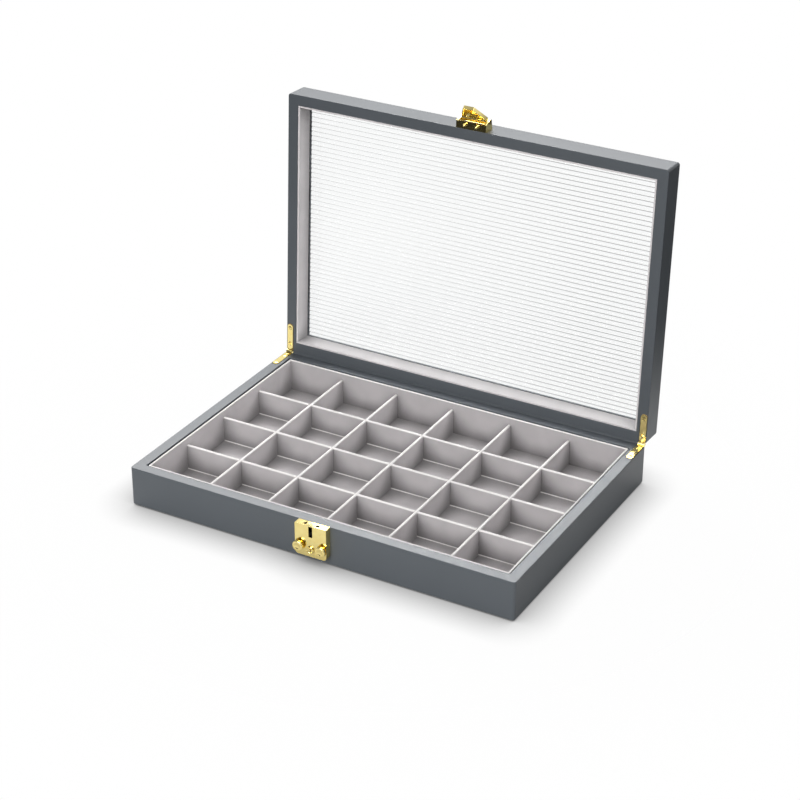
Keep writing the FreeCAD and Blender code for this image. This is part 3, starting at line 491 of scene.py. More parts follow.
@material("spring_steel_black_oxide")
def steel(tree, where):
    """Spring steel, blackened in hot oxide: a dull near-black metal for springs and catches; on the back
    plate it is painted shade that keeps the lock's inside dark.
    """
    # Blotches of the oxide, about 1.5 mm.
    oxide = add_node(tree, "TexVoronoi", {"Vector": where, "Scale": 650.0}).outputs["Distance"]
    return add_node(tree, "BsdfPrincipled", {
        "Base Color": two_tone(tree, oxide, colours().steel, 1.0, 0.7), "Metallic": 1.0,
        "Roughness": spread(tree, oxide, (0.45, 0.6))})


# Covers

SIDES = {"left": -1, "right": 1}
ALL_SIDES = ("front", "back", "left", "right")
LEATHER_THICKNESS = 0.0008
# The leather is cut back a little wider than a leaf's own seat, which leaves a dark line round the leaf.
SEAT_LINE = 0.0006
SEAT_LINE_DEPTH = 0.0007
SEAT_PLAY = 0.0003
SEAT_DEPTH = 0.0013
KNUCKLE_ROOM = 0.0024
BEAD_ROOT_DEPTH = 0.0004
BEAD_ROOT_START = 0.0007
BEAD_ROOT_END = 0.0001
BEAD_TO_LEAF = 0.001


def mortise(name, side, rim, into):
    """Solids for the place that a hinge leaf and its knuckles take in a rim."""
    low, high = closed_box(f"{side}_hinge_base_leaf")
    middle = (low.x + high.x) / 2
    turn = low.y + (high.x - low.x) / 2
    rear = HINGE_Y + KNUCKLE_ROOM
    tools = []
    for spare, depth in ((SEAT_LINE, SEAT_LINE_DEPTH), (SEAT_PLAY, SEAT_DEPTH)):
        half = (high.x - low.x) / 2 + spare
        outline = arc((middle, turn), half, 180, 360, 14)
        outline += [(middle + half, rear), (middle - half, rear)]
        tools.append(solid(name + "_seat", prism, outline, "z", rim - PAST * into, rim + depth * into))
    tools.append(rod(name + "_room", HINGE, KNUCKLE_ROOM, 40, "x", middle - half, middle + half))
    return tools


def cover_profile(size, level, far, edge):
    """Section of a cover, from inside its rim over the rim and along the side to its far edge."""
    into = 1 if far > level else -1
    rim, soft, inner = size.rim_width, size.rim_radius, size.rim_inner_radius
    profile = arc((rim - inner, level + inner * into), inner, 0, -90 * into)
    profile += arc((soft, level + soft * into), soft, -90 * into, -180 * into)
    return profile + arc((edge, far - edge * into), edge, 180, 180 - 90 * into, 8)


class JEWELBOX_OT_covers(bpy.types.Operator):
    """Wrap the base and the lid in leather, with mortises for the hinges"""

    bl_idname = "jewelbox.covers"
    bl_label = "Leather Covers"

    def execute(self, context):
        size = sizes()
        rim = size.rim_width
        low, high = BASE_LOW.z, BASE_HIGH.z
        inside = low + LEATHER_THICKNESS
        profile = [(rim, TRAY_LOW.z)] + cover_profile(size, high, low, size.base_edge_radius)
        profile += [(size.turn_in, low), (size.turn_in, inside), (rim, inside)]
        cover = solid("base_cover", frame_ring, profile, BASE_HIGH.x, BASE_HIGH.y, size.corner_radius)
        # At the hinge side the leather ends in a narrow bead, which closes the gap to the open lid.
        reach = closed_box("right_hinge_base_leaf")[0].x - BEAD_TO_LEAF
        root = high - BEAD_ROOT_DEPTH
        outline = [(HINGE_Y - BEAD_ROOT_START, root), (HINGE_Y - BEAD_ROOT_END, root)]
        outline += arc(HINGE, size.bead_radius, -60, 200, 12)
        combine(cover, [solid("bead", prism, outline, "x", -reach, reach)], "UNION")
        for side in SIDES:
            combine(cover, mortise(f"base_{side}", side, high, -1), "DIFFERENCE")
        settle(cover, leather(), "base", ["base_leather_cover"])

        low, high = LID_LOW.z, LID_HIGH.z
        seat = closed_box("window_pane", LID_OPEN)[1].z
        window = rim + size.lip_width
        roll = size.lip_radius
        profile = [(rim, seat)] + cover_profile(size, low, high, size.lid_edge_radius)
        profile += arc((window - roll, high - roll), roll, 90, 0)
        profile += [(window, seat)]
        cover = solid("lid_cover", frame_ring, profile, LID_HIGH.x, LID_HIGH.y, size.corner_radius)
        for side in SIDES:
            combine(cover, mortise(f"lid_{side}", side, low, 1), "DIFFERENCE")
        settle(cover, leather(), "lid", ["lid_leather_cover"], LID_OPEN)
        return {"FINISHED"}


# Tray

COLUMNS = 6
ROWS = 4
TRAY_CORNER = 0.001
# The velvet is rounder over a divider than over a wall.
DIVIDER_PILE = 1.3
# Cross dividers show no bare foot.
HIDDEN_FOOT = 0.0001
# The bare foot goes over into the velvet up to this share of its height.
FOOT_FADE = 1.2
# Velvet that turns over the top of a board gets at least this much of the painted highlight.
LEAST_EDGE_HIGHLIGHT = 0.2
LAP_PLAY = 0.0001
PAD_SINK = 0.0001


def mark_edge_highlight_and_foot(piece, top, radius, foot=None):
    """Mark the painted highlight along a board's top, and the bare foot of the board."""
    marks = piece.data.attributes.new("pale", "FLOAT", "POINT")
    for vertex, mark in zip(piece.data.vertices, marks.data):
        rise = (vertex.co.z - top + radius) / radius
        mark.value = min(1.0, LEAST_EDGE_HIGHLIGHT + rise) if rise > 0.01 else 0.0
        if foot is not None and vertex.co.z < foot:
            mark.value = 1.0


def divider_outline(low, high, radius, foot):
    """Section of a velvet-covered board: square at its foot, round over its top."""
    right = arc((high[0] - radius, high[1] - radius), radius, 0, 90, 4)
    left = arc((low[0] + radius, high[1] - radius), radius, 90, 180, 4)
    steps = [(high[0], low[1]), (high[0], low[1] + foot), (high[0], low[1] + foot * FOOT_FADE)]
    mirrored = [(low[0], point[1]) for point in reversed(steps)]
    return steps + right + left + mirrored


def floor_pad(bm, low, high, rise, steps=8):
    """A pad that swells a little inside each compartment and dips under the dividers."""
    columns = [low.x + (high.x - low.x) * step / (COLUMNS * steps) for step in range(COLUMNS * steps + 1)]
    rows = [low.y + (high.y - low.y) * step / (ROWS * steps) for step in range(ROWS * steps + 1)]
    top = []
    for number, y in enumerate(rows):
        across = 2 * (number % steps) / steps - 1
        line = []
        for index, x in enumerate(columns):
            along = 2 * (index % steps) / steps - 1
            swell = (1 - across ** 4) * (1 - along ** 4)
            line.append(bm.verts.new((x, y, high.z - PAD_SINK + rise * swell)))
        top.append(line)
    for one, other in zip(top, top[1:]):
        for index in range(len(columns) - 1):
            bm.faces.new((one[index], one[index + 1], other[index + 1], other[index]))
    rim = top[0] + [line[-1] for line in top[1:]] + top[-1][-2::-1] + [line[0] for line in top[-2:0:-1]]
    under = [bm.verts.new((vertex.co.x, vertex.co.y, low.z)) for vertex in rim]
    band(bm, rim, under)
    bm.faces.new(under)


class JEWELBOX_OT_tray(bpy.types.Operator):
    """Build the velvet tray: walls, padded floor and half-lapped dividers"""

    bl_idname = "jewelbox.tray"
    bl_label = "Velvet Tray"

    def execute(self, context):
        size = sizes()
        pile = size.pile_radius
        walls = [f"tray_{side}_wall" for side in ALL_SIDES]
        low, high = closed_box("tray_front_wall")
        thick = high.y - low.y
        profile = [(0.0, low.z), (thick, low.z)]
        profile += arc((thick - pile, high.z - pile), pile, 0, 90, 4)
        profile += arc((pile, high.z - pile), pile, 90, 180, 4)
        shell = solid("velvet_tray_walls", frame_ring, profile, high.x, -low.y, TRAY_CORNER, 3)
        mark_edge_highlight_and_foot(shell, high.z, pile)
        settle(shell, velvet(), "base", walls)

        pad = solid("velvet_floor_pad", floor_pad, TRAY_LOW, TRAY_HIGH, size.pad_rise)
        settle(pad, velvet(), "base", ["tray_floor"])

        fold = pile * DIVIDER_PILE
        longs = [f"long_divider_{place}" for place in ("front", "middle", "rear")]
        crosses = [f"cross_divider_{number}" for number in range(1, COLUMNS)]
        for names, axis, across, others in ((longs, "x", 1, crosses), (crosses, "y", 0, longs)):
            foot = size.foot_height if axis == "x" else HIDDEN_FOOT
            along = 1 - across
            for name in names:
                low, high = closed_box(name)
                outline = divider_outline((low[across], low.z), (high[across], high.z), fold, foot)
                board = solid(f"velvet_{name}", prism, outline, axis, low[along], high[along])
                middle = (low.z + high.z) / 2
                slots = []
                for other in others:
                    start, end = closed_box(other)
                    near = [low.x - PAST, low.y - PAST, middle if axis == "x" else low.z - PAST]
                    far = [high.x + PAST, high.y + PAST, high.z + PAST if axis == "x" else middle]
                    near[along] = start[along] - LAP_PLAY
                    far[along] = end[along] + LAP_PLAY
                    slots.append(solid("slot", block, near, far))
                combine(board, slots, "DIFFERENCE")
                mark_edge_highlight_and_foot(board, high.z, fold, low.z + foot * (1 + FOOT_FADE) / 2 if axis == "x" else None)
                settle(board, velvet(), "base", [name])
        return {"FINISHED"}


# Window

REED_PITCH = 0.0042
REED_RISE = 0.00055
LINING_EDGE = 0.0003


def reed_row(low, high):
    """Number of reeds and where the first one begins, so that the row lies evenly on the pane."""
    count = math.floor((high.y - low.y) / REED_PITCH)
    return count, (low.y + high.y - count * REED_PITCH) / 2


def reeded_pane(bm, low, high, steps=10):
    """A flat pane whose inner face is a row of shallow round reeds that run left to right."""
    valley = low.z + REED_RISE
    count, start = reed_row(low, high)
    radius = ((REED_PITCH / 2) ** 2 + REED_RISE ** 2) / (2 * REED_RISE)
    reach = math.degrees(math.asin(REED_PITCH / 2 / radius))
    outline = [(low.y, valley)]
    for number in range(count):
        middle = (start + (number + 0.5) * REED_PITCH, low.z + radius)
        outline += arc(middle, radius, 270 - reach, 270 + reach, steps)[:-1]
    outline += [(start + count * REED_PITCH, valley), (high.y, valley), (high.y, high.z), (low.y, high.z)]
    prism(bm, outline, "x", low.x, high.x)


def strip(bm, low, high, edge):
    """A board with its edges rounded by the velvet."""
    block(bm, low, high)
    bmesh.ops.bevel(bm, geom=bm.edges[:], offset=edge, segments=3, profile=0.5, affect="EDGES")


class JEWELBOX_OT_window(bpy.types.Operator):
    """Set the reeded pane and the velvet strips that hold it into the lid"""

    bl_idname = "jewelbox.window"
    bl_label = "Reeded Window"

    def execute(self, context):
        low, high = closed_box("window_pane", LID_OPEN)
        pane = solid("reeded_pane", reeded_pane, low, high)
        settle(pane, acrylic(), "lid", ["window_pane"], LID_OPEN)
        for side in ALL_SIDES:
            low, high = closed_box(f"lid_lining_{side}", LID_OPEN)
            lining = solid(f"velvet_lid_lining_{side}", strip, low, high, LINING_EDGE)
            settle(lining, velvet(), "lid", [f"lid_lining_{side}"], LID_OPEN)
        return {"FINISHED"}


# Hinges

LEAF_THICKNESS = 0.0014
LEAF_PROUD = 0.0002
LEAF_TO_BARREL = 0.0004
BASE_KNUCKLE = 0.0015
LID_KNUCKLE = 0.0023
PIN_BORE = 0.00105
SCREW_PLACES = (0.0037, 0.0187)
SCREW_TURNS = (65, 105)
HEAD_DEPTH = 0.0008
HEAD_RISE = 0.0002
SINK_DEPTH = 0.001
SINK_PLAY = 0.0002
RECESS_DEPTH = 0.0003
RECESS_HALF = 0.00022
RECESS_REACH = 0.62


def screw_head(bm, middle, level, out, radius):
    """An oval head that stands a little out of its leaf."""
    profile = [(0.0, -HEAD_DEPTH), (0.6, -HEAD_DEPTH), (1.0, 0.1 * HEAD_RISE), (0.8, 0.6 * HEAD_RISE),
               (0.4, 0.9 * HEAD_RISE), (0.0, HEAD_RISE)]
    turned(bm, [(radius * share, level + rise * out) for share, rise in profile], "z", middle, 24)


def cross_recess(bm, middle, level, out, reach, turn):
    """One arm of a cross recess."""
    low, high = sorted((level - RECESS_DEPTH * out, level + PAST * out))
    along = (math.cos(math.radians(turn)), math.sin(math.radians(turn)))
    corners = [(middle[0] + a * reach * along[0] - b * RECESS_HALF * along[1],
                middle[1] + a * reach * along[1] + b * RECESS_HALF * along[0])
               for a, b in ((-1, -1), (1, -1), (1, 1), (-1, 1))]
    prism(bm, corners, "z", low, high)


class JEWELBOX_OT_hinges(bpy.types.Operator):
    """Build the brass side-rail hinges with their leaves, knuckles and screws"""

    bl_idname = "jewelbox.hinges"
    bl_label = "Brass Hinges"

    def execute(self, context):
        size = sizes()
        for side in SIDES:
            finish_node(f"{side}_hinge_pin", brass())
            for part, pose, out in (("base", REST, 1), ("lid", LID_OPEN, -1)):
                self.leaf(size, side, part, pose, out)
        return {"FINISHED"}

    def leaf(self, size, side, part, pose, out):
        node = f"{side}_hinge_{part}_leaf"
        low, high = closed_box(node, pose)
        middle = (low.x + high.x) / 2
        half = (high.x - low.x) / 2
        barrel = high.y - HINGE_Y
        face = BASE_HIGH.z + LEAF_PROUD if part == "base" else LID_LOW.z - LEAF_PROUD
        bottom, top = sorted((face, face - LEAF_THICKNESS * out))
        plate_end = HINGE_Y - barrel - LEAF_TO_BARREL
        outline = arc((middle, low.y + half), half, 180, 360, 16)
        outline += [(middle + half, plate_end), (middle - half, plate_end)]
        leaf = solid(f"brass_{node}", prism, outline, "z", bottom, top)
        if part == "base":
            spans = [(low.x, low.x + BASE_KNUCKLE), (high.x - BASE_KNUCKLE, high.x)]
        else:
            spans = [(middle - LID_KNUCKLE / 2, middle + LID_KNUCKLE / 2)]
        added = []
        for start, end in spans:
            added.append(solid("finger", block, (start, plate_end - PAST, bottom), (end, HINGE_Y, top)))
            added.append(rod("knuckle", HINGE, barrel, 32, "x", start, end))
        combine(leaf, added, "UNION")
        bore = rod("bore", HINGE, PIN_BORE, 24, "x", low.x - PAST, high.x + PAST)
        places = [(middle, low.y + along) for along in SCREW_PLACES]
        screw = size.screw_radius
        wide = screw + SINK_PLAY
        sunk, clear = face - SINK_DEPTH * out, face + PAST / 2 * out
        sink = [(0.0, sunk), (screw * 0.6, sunk), (wide, face), (wide, clear), (0.0, clear)]
        sinks = [solid("sink", turned, sink, "z", place, 24) for place in places]
        combine(leaf, [bore] + sinks, "DIFFERENCE")
        settle(leaf, brass(), part, [node], pose, bevel=size.metal_bevel * 0.5)

        for number, (place, turn) in enumerate(zip(places, SCREW_TURNS), start=1):
            head = solid(f"brass_{side}_{part}_screw_{number}", screw_head, place, face, out, screw)
            recesses = [solid("recess", cross_recess, place, face, out, screw * RECESS_REACH, angle)
                        for angle in (turn, turn + 90)]
            combine(head, recesses, "DIFFERENCE")
            settle(head, brass(), part, [], pose)


# Lock

CASE_WALL = 0.0012
CASE_CORNER = 0.003
CASE_TOP_CORNER = 0.0006
SLOT_HALF = 0.00175
SLOT_FOOT = 0.0104
SLOT_BRIDGE = 0.0009
STEM_RADIUS = 0.0023
STEM_HOLE = 0.0025
CAP_EDGE = 0.0009
CAP_THICKNESS = 0.002
CAP_CREST = 0.00002
GUIDE_OFFSET = 0.0055
GUIDE_HOLE = 0.0015
GUIDE_HOLE_INSET = 0.0026
PLUG_RADIUS = 0.00315
PLUG_HOLE = 0.0033
PLUG_COLLAR = 0.0007
KEYHOLE_DEPTH = 0.0026
KEYHOLE_EYE = 0.0008
KEYHOLE_RISE = 0.0006
KEYHOLE_DROP = 0.0018
KEYHOLE_SLIT_HALF = 0.00045


class JEWELBOX_OT_lock(bpy.types.Operator):
    """Build the brass lock: case with its slot, two dished buttons and the key plug"""

    bl_idname = "jewelbox.lock"
    bl_label = "Brass Lock"

    def execute(self, context):
        size = sizes()
        low, high = closed_box("lock_case")
        corner, crown = CASE_CORNER, CASE_TOP_CORNER
        outline = arc((low.x + corner, low.z + corner), corner, 180, 270, 8)
        outline += arc((high.x - corner, low.z + corner), corner, 270, 360, 8)
        outline += arc((high.x - crown, high.z - crown), crown, 0, 90, 3)
        outline += arc((low.x + crown, high.z - crown), crown, 90, 180, 3)
        case = solid("brass_lock_case", prism, outline, "y", low.y, high.y)
        wall = CASE_WALL
        tools = [solid("hollow", block, (low.x + wall, low.y + wall, low.z + wall),
                       (high.x - wall, high.y + PAST, high.z - wall))]
        tools.append(solid("slot", block, (-SLOT_HALF, low.y - PAST, high.z - SLOT_FOOT),
                           (SLOT_HALF, low.y + wall + PAST / 2, high.z - SLOT_BRIDGE)))
        through_front = ("y", low.y - PAST, low.y + 2 * PAST)
        through_top = ("z", high.z - 2 * PAST, high.z + PAST)
        for side, sign in SIDES.items():
            seat, proud = closed_box(f"{side}_button")
            stem = ((seat.x + proud.x) / 2, (seat.z + proud.z) / 2)
            guide = (sign * GUIDE_OFFSET, low.y + GUIDE_HOLE_INSET)
            tools.append(rod("stem_hole", stem, STEM_HOLE, 32, *through_front))
            tools.append(rod("guide_hole", guide, GUIDE_HOLE, 24, *through_top))
        axis = joint("key_turn")["pos_m"]
        tools.append(rod("plug_hole", (axis[0], axis[2]), PLUG_HOLE, 40, *through_front))
        combine(case, tools, "DIFFERENCE")
        settle(case, brass(), "base", ["lock_case"], bevel=size.metal_bevel)
        for side in SIDES:
            self.button(size, side)
            finish_node(f"{side}_catch", steel())
            finish_node(f"{side}_catch_spring", steel())
        self.plug(axis, low.y)
        # The back plate's near-black is painted shade inside the lock case, seen through the slot.
        finish_node("lock_back_plate", steel())
        return {"FINISHED"}

    def button(self, size, side):
        low, high = closed_box(f"{side}_button")
        radius = (high.x - low.x) / 2
        middle = ((low.x + high.x) / 2, (low.z + high.z) / 2)
        front = low.y
        dish = size.dish_depth
        profile = [(0.0, front + dish)]
        profile += [(radius * 0.56 * step / 5, front + dish * (1 - (step / 5) ** 3)) for step in range(1, 6)]
        profile += [(radius * 0.62, front - CAP_CREST), (radius * 0.72, front)]
        profile += arc((radius - CAP_EDGE, front + CAP_EDGE), CAP_EDGE, 270, 360, 5)
        under = front + CAP_THICKNESS
        profile += [(radius, under), (STEM_RADIUS, under), (STEM_RADIUS, high.y), (0.0, high.y)]
        button = solid(f"brass_{side}_button", turned, profile, "y", middle, 48)
        settle(button, brass(), f"{side}_button", [f"{side}_button"])

    def plug(self, axis, case_front):
        low, high = closed_box("key_plug")
        across, height = axis[0], axis[2]
        front, end = low.y, low.y + KEYHOLE_DEPTH
        radius = PLUG_RADIUS
        collar = radius + PLUG_COLLAR
        # A shallow dish inside a rolled rim, then the shank and its collar behind the case wall.
        profile = [(0.0, front + 0.0008), (radius * 0.6, front + 0.0007), (radius * 0.74, front + 0.0001),
                   (radius * 0.8, front), (radius * 0.9, front), (radius, front + 0.0003),
                   (radius, case_front + 0.0011), (collar, case_front + 0.0013),
                   (collar, case_front + 0.002), (0.0, high.y)]
        plug = solid("brass_key_plug", turned, profile, "y", (across, height), 40)
        top = height + KEYHOLE_RISE
        eye = rod("eye", (across, top), KEYHOLE_EYE, 20, "y", front, end)
        slit = solid("slit", block, (across - KEYHOLE_SLIT_HALF, front, height - KEYHOLE_DROP),
                     (across + KEYHOLE_SLIT_HALF, end, top))
        combine(plug, [eye, slit], "DIFFERENCE")
        settle(plug, brass(), "key_plug", ["key_plug"])


# Catch

BRACKET_WALL = 0.0014
BRACKET_DEPTH = 0.0062
CHEEK_THICKNESS = 0.0022
EAR_RADIUS = 0.0026
EAR_BORE = 0.00103
GUIDE_RADIUS = 0.0012
GUIDE_STAND = 0.0036
FLAP_TO_BRACKET = 0.0003
FLAP_TIP_HALF = 0.0046
FLAP_TIP_RADIUS = 0.0014
FLAP_SHOULDER = 0.004
FLAP_EDGE = 0.001
FLAP_HOLLOW = 0.0017
FLAP_BRIDGE = 0.0023
BARREL_RADIUS = 0.0024
BARREL_BORE = 0.00108
HOOK_TOP = 0.0071
HOOK_HEIGHT = 0.0033
HOOK_HALF = 0.0014
HOOK_NOSE = 0.0012
HOOK_NOTCH_END = 0.0028
HOOK_NOTCH_DEPTH = 0.0011
HOOK_ROOT = 0.002


class JEWELBOX_OT_catch(bpy.types.Operator):
    """Build the brass catch on the lid: bracket, guide pins and hollow flap with its hook"""

    bl_idname = "jewelbox.catch"
    bl_label = "Brass Catch"

    def execute(self, context):
        size = sizes()
        low, high = closed_box("catch_bracket", LID_OPEN)
        front = LID_LOW.y
        face = front - BRACKET_DEPTH
        pin = FLAP_PIN.yz
        wall = BRACKET_WALL
        cheek = CHEEK_THICKNESS
        bracket = solid("brass_catch_bracket", block, (low.x, front - wall, low.z), (high.x, front, high.z))
        added = [solid("lower_wall", block, (low.x, face, low.z), (high.x, front - wall / 2, low.z + wall))]
        ear = arc(pin, EAR_RADIUS, 190, 90, 12)
        outline = [(front - wall / 2, low.z), (face, low.z)] + ear + [(front - wall / 2, high.z)]
        for start, end in ((low.x, low.x + cheek), (high.x - cheek, high.x)):
            added.append(solid("cheek", prism, outline, "x", start, end))
        combine(bracket, added, "UNION")
        bore = rod("bore", pin, EAR_BORE, 24, "x", low.x - PAST, high.x + PAST)
        combine(bracket, [bore], "DIFFERENCE")
        settle(bracket, brass(), "lid", ["catch_bracket"], LID_OPEN, bevel=size.metal_bevel * 0.8)

        pin_low = closed_box("bracket_guide_pins", LID_OPEN)[0].z
        for side, sign in SIDES.items():
            guide = (sign * GUIDE_OFFSET, front - GUIDE_STAND)
            profile = [(0.0, low.z + wall), (GUIDE_RADIUS, low.z + wall), (GUIDE_RADIUS, pin_low + 0.0006),
                       (GUIDE_RADIUS * 0.75, pin_low + 0.0002), (GUIDE_RADIUS / 3, pin_low + 0.00005),
                       (0.0, pin_low)]
            guide_pin = solid(f"brass_guide_pin_{side}", turned, profile, "z", guide, 24)
            nodes = ["bracket_guide_pins"] if side == "left" else []
            settle(guide_pin, brass(), "lid", nodes, LID_OPEN)
        finish_node("catch_pin", brass())
        self.flap(size, pin, face)
        return {"FINISHED"}

    def flap(self, size, pin, face):
        pin_z = pin[1]
        low, high = closed_box("catch_flap", FLAP_OPEN)
        half, tip = high.x, FLAP_TIP_HALF
        inside = face - FLAP_TO_BRACKET
        shoulder = pin_z - FLAP_SHOULDER
        slope = math.degrees(math.atan2(half - tip, shoulder - low.z))
        round_tip = FLAP_TIP_RADIUS
        corner = tip - round_tip * math.tan(math.radians(45 - slope / 2))
        outline = [(half, pin_z), (-half, pin_z), (-half, shoulder)]
        outline += arc((-corner, low.z + round_tip), round_tip, 180 + slope, 270, 6)
        outline += arc((corner, low.z + round_tip), round_tip, 270, 360 - slope, 6)
        outline += [(half, shoulder)]
        flap = solid("brass_catch_flap", prism, outline, "y", low.y, inside)
        edge = FLAP_EDGE
        bridge = pin_z - FLAP_BRIDGE
        hollow = [(half - edge, bridge), (-half + edge, bridge), (-half + edge, shoulder),
                  (-tip + edge * 0.6, low.z + edge), (tip - edge * 0.6, low.z + edge),
                  (half - edge, shoulder)]
        pocket = solid("hollow", prism, hollow, "y", inside - FLAP_HOLLOW, inside + PAST)
        combine(flap, [pocket], "DIFFERENCE")
        barrel = rod("barrel", pin, BARREL_RADIUS, 36, "x", -half, half)
        nose, root = high.y, inside - HOOK_ROOT
        top = low.z + HOOK_TOP
        foot = top - HOOK_HEIGHT
        notch = foot + HOOK_NOTCH_DEPTH
        start, end = nose - HOOK_NOSE, nose - HOOK_NOTCH_END
        hook_side = [(root, top), (nose, top), (nose, foot), (start, foot), (start, notch), (end, notch),
                     (end, foot), (root, foot)]
        hook = solid("hook", prism, hook_side, "x", -HOOK_HALF, HOOK_HALF)
        combine(flap, [barrel, hook], "UNION")
        bore = rod("bore", pin, BARREL_BORE, 24, "x", -half - PAST, half + PAST)
        combine(flap, [bore], "DIFFERENCE")
        settle(flap, brass(), "flap", ["catch_flap"], FLAP_OPEN, bevel=size.metal_bevel * 0.7)


# Boards and felt

FELT_CORNER = 0.006
FELT_BEVEL = 0.0002


class JEWELBOX_OT_boards(bpy.types.Operator):
    """Finish the fibreboard under the covers and lay the felt under the base"""

    bl_idname = "jewelbox.boards"
    bl_label = "Boards and Felt"

    def execute(self, context):
        for part in ("base", "lid"):
            for side in ALL_SIDES:
                finish_node(f"{part}_{side}_rail", fibreboard())
        finish_node("base_bottom_board", fibreboard())
        low, high = closed_box("base_felt")
        outline = rounded_rectangle(high.x, high.y, FELT_CORNER, 8)
        felt_sheet = solid("felt_foot", prism, outline, "z", low.z, high.z)
        settle(felt_sheet, felt(), "base", ["base_felt"], bevel=FELT_BEVEL)
        return {"FINISHED"}


# Stage

CAMERA_PLACE = (0.7673, -1.35473, 0.92197)
CAMERA_TURN = 29.238
CAMERA_TILT = 28.179
CAMERA_ROLL = 0.164
CAMERA_LENS = 98.21
CAMERA_SENSOR = 36.0
FLOOR_REACH = 1.4
LAMP_AIM = (0.0, 0.0, 0.05)


def seen_straight(tree, path):
    """One for rays from the camera and for rays that came through the pane."""
    return calculate(tree, "MAXIMUM", path["Is Camera Ray"], path["Is Transmission Ray"])


def disc(bm, radius, steps=96):
    """A flat round sheet on the ground."""
    bm.faces.new(loop_at(bm, circle((0.0, 0.0), radius, steps), "z", 0.0))


@material("studio_paper_matt_white")
def studio_floor(tree, where):
    """Pale studio paper, lit to white: matt and even, with a painted shadow of the box close to it over a
    faint real one.
    """
    tone = two_tone(tree, noise(tree, where, 300.0, 2.0), colours().floor, 0.99, 1.01)
    paper = add_node(tree, "BsdfDiffuse", {"Color": tone})
    # Painted shadow: its white dies away where the box stands close over it, by ambient occlusion.
    open_sky = add_node(tree, "AmbientOcclusion", {"Distance": 0.035}, samples=16)
    white = add_node(tree, "Emission", {"Strength": open_sky.outputs["AO"]})
    # Metal and gloss mirror less of that white than the eye sees.
    path = add_node(tree, "LightPath").outputs
    mirrored = calculate(tree, "MULTIPLY", path["Is Glossy Ray"], 0.28)
    in_sight = calculate(tree, "MAXIMUM", seen_straight(tree, path), mirrored)
    share = calculate(tree, "MULTIPLY", in_sight, 0.97)
    lit = add_node(tree, "MixShader", {0: share, 1: paper.outputs[0], 2: white.outputs[0]})
    # The paper thins out to the white of the backdrop well away from the box.
    reach = add_node(tree, "VectorMath", {0: where}, operation="LENGTH")
    fade = spread(tree, reach.outputs["Value"], (0.0, 1.0), (0.27, 0.5), "SMOOTHSTEP")
    clear = add_node(tree, "BsdfTransparent")
    return add_node(tree, "MixShader", {0: fade, 1: lit.outputs[0], 2: clear.outputs[0]})


def softbox(name, place, width, height, power):
    """A soft rectangular lamp that faces the box."""
    lamp = bpy.data.lights.new(name, "AREA")
    lamp.shape = "RECTANGLE"
    lamp.size = width
    lamp.size_y = height
    lamp.energy = power
    holder = bpy.data.objects.new(name, lamp)
    holder.location = place
    holder.rotation_euler = (Vector(LAMP_AIM) - Vector(place)).to_track_quat("-Z", "Y").to_euler()
    holder.visible_camera = False
    bpy.context.scene.collection.objects.link(holder)


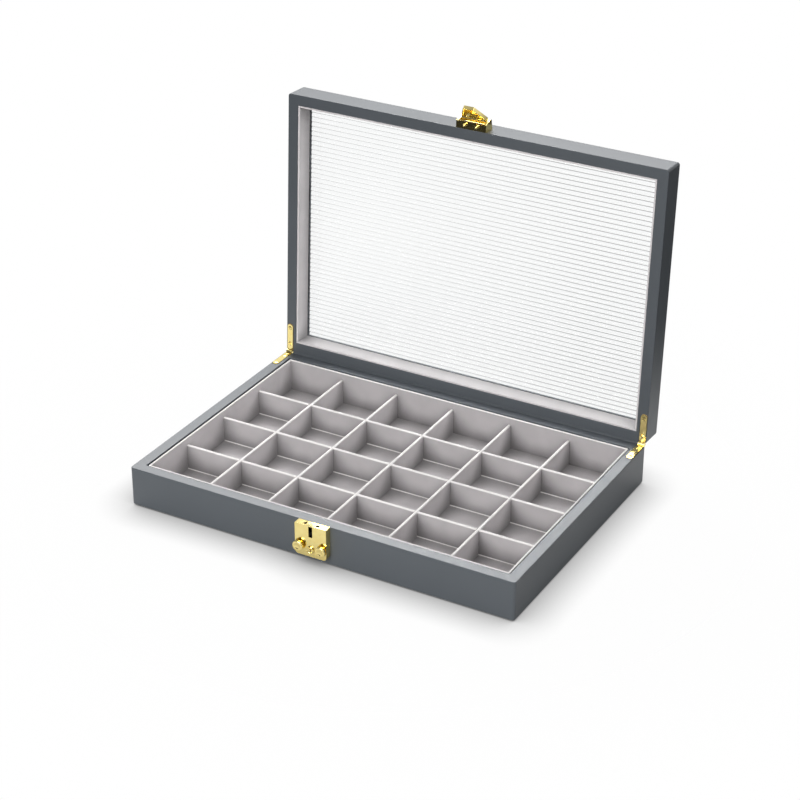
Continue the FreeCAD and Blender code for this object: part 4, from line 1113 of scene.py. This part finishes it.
class JEWELBOX_OT_stage(bpy.types.Operator):
    """Lay the pale floor and set the studio light and the camera"""

    bl_idname = "jewelbox.stage"
    bl_label = "Studio Stage"

    def execute(self, context):
        scene = context.scene
        floor = solid("studio_floor", disc, FLOOR_REACH)
        floor.data.materials.append(studio_floor())

        # The lamp behind stands higher than the line in which the metal mirrors the backdrop, so the brass
        # stays gold while the wider gloss of the leather brightens the rims.
        softbox("back_softbox", (-0.75, 1.25, 1.45), 1.5, 0.5, 46.0)
        softbox("high_back_softbox", (-0.5, 0.7, 1.7), 0.8, 0.8, 3.0)
        softbox("front_softbox", (0.0, -1.65, 0.9), 1.0, 1.0, 30.0)
        softbox("right_softbox", (1.5, -0.2, 1.0), 0.8, 0.8, 4.0)

        world = bpy.data.worlds.new("studio")
        world.use_nodes = True
        tree = world.node_tree
        tree.nodes.clear()
        # The backdrop is white to the eye and bright behind the box; the room on the camera's side is dim,
        # which gives the polished metal its dark reflections.
        way = add_node(tree, "TexCoord").outputs["Generated"]
        depth = add_node(tree, "SeparateXYZ", {0: way}).outputs
        behind = spread(tree, depth["Y"], (0.12, 0.8), (-0.6, -0.1))
        above = spread(tree, depth["Z"], (0.08, 1.0), (-0.3, 0.0))
        mirrored = calculate(tree, "MULTIPLY", behind, above)
        path = add_node(tree, "LightPath").outputs
        light = add_node(tree, "Mix", {0: path["Is Glossy Ray"], 2: 0.16, 3: mirrored})
        strength = add_node(tree, "Mix", {0: seen_straight(tree, path), 2: light.outputs[0], 3: 1.0})
        sky = add_node(tree, "Background", {"Color": [1.0, 1.0, 1.0, 1.0], "Strength": strength.outputs[0]})
        add_node(tree, "OutputWorld", {"Surface": sky.outputs[0]})
        scene.world = world

        lens = bpy.data.cameras.new("photo_camera")
        lens.lens = CAMERA_LENS
        lens.sensor_width = CAMERA_SENSOR
        lens.clip_start = 0.01
        camera = bpy.data.objects.new("photo_camera", lens)
        camera.matrix_world = (Matrix.Translation(CAMERA_PLACE)
                               @ Matrix.Rotation(math.radians(CAMERA_TURN), 4, "Z")
                               @ Matrix.Rotation(math.radians(90 - CAMERA_TILT), 4, "X")
                               @ Matrix.Rotation(math.radians(CAMERA_ROLL), 4, "Z"))
        scene.collection.objects.link(camera)
        scene.camera = camera
        scene.view_settings.view_transform = "Standard"
        return {"FINISHED"}


# Panel

OPERATORS = (
    JEWELBOX_OT_covers,
    JEWELBOX_OT_tray,
    JEWELBOX_OT_window,
    JEWELBOX_OT_hinges,
    JEWELBOX_OT_lock,
    JEWELBOX_OT_catch,
    JEWELBOX_OT_boards,
    JEWELBOX_OT_stage,
)


class JEWELBOX_PT_panel(bpy.types.Panel):
    """Sizes, colours and the pieces that can be built"""

    bl_idname = "JEWELBOX_PT_panel"
    bl_label = "Jewelry Box"
    bl_space_type = "VIEW_3D"
    bl_region_type = "UI"
    bl_category = "Jewelry Box"

    def draw(self, context):
        for operator in OPERATORS:
            self.layout.operator(operator.bl_idname)
        for settings in (context.scene.jewel_box_sizes, context.scene.jewel_box_colours):
            column = self.layout.column(align=True)
            for name in settings.__annotations__:
                column.prop(settings, name)


CLASSES = (JewelBoxSizes, JewelBoxColours) + OPERATORS + (JEWELBOX_PT_panel,)


def register():
    for one in CLASSES:
        bpy.utils.register_class(one)
    bpy.types.Scene.jewel_box_sizes = bpy.props.PointerProperty(type=JewelBoxSizes)
    bpy.types.Scene.jewel_box_colours = bpy.props.PointerProperty(type=JewelBoxColours)


def unregister():
    del bpy.types.Scene.jewel_box_colours
    del bpy.types.Scene.jewel_box_sizes
    for one in reversed(CLASSES):
        bpy.utils.unregister_class(one)


def main():
    register()
    bpy.ops.jewelbox.covers()
    bpy.ops.jewelbox.tray()
    bpy.ops.jewelbox.window()
    bpy.ops.jewelbox.hinges()
    bpy.ops.jewelbox.lock()
    bpy.ops.jewelbox.catch()
    bpy.ops.jewelbox.boards()
    bpy.ops.jewelbox.stage()


if __name__ == "__main__":
    main()
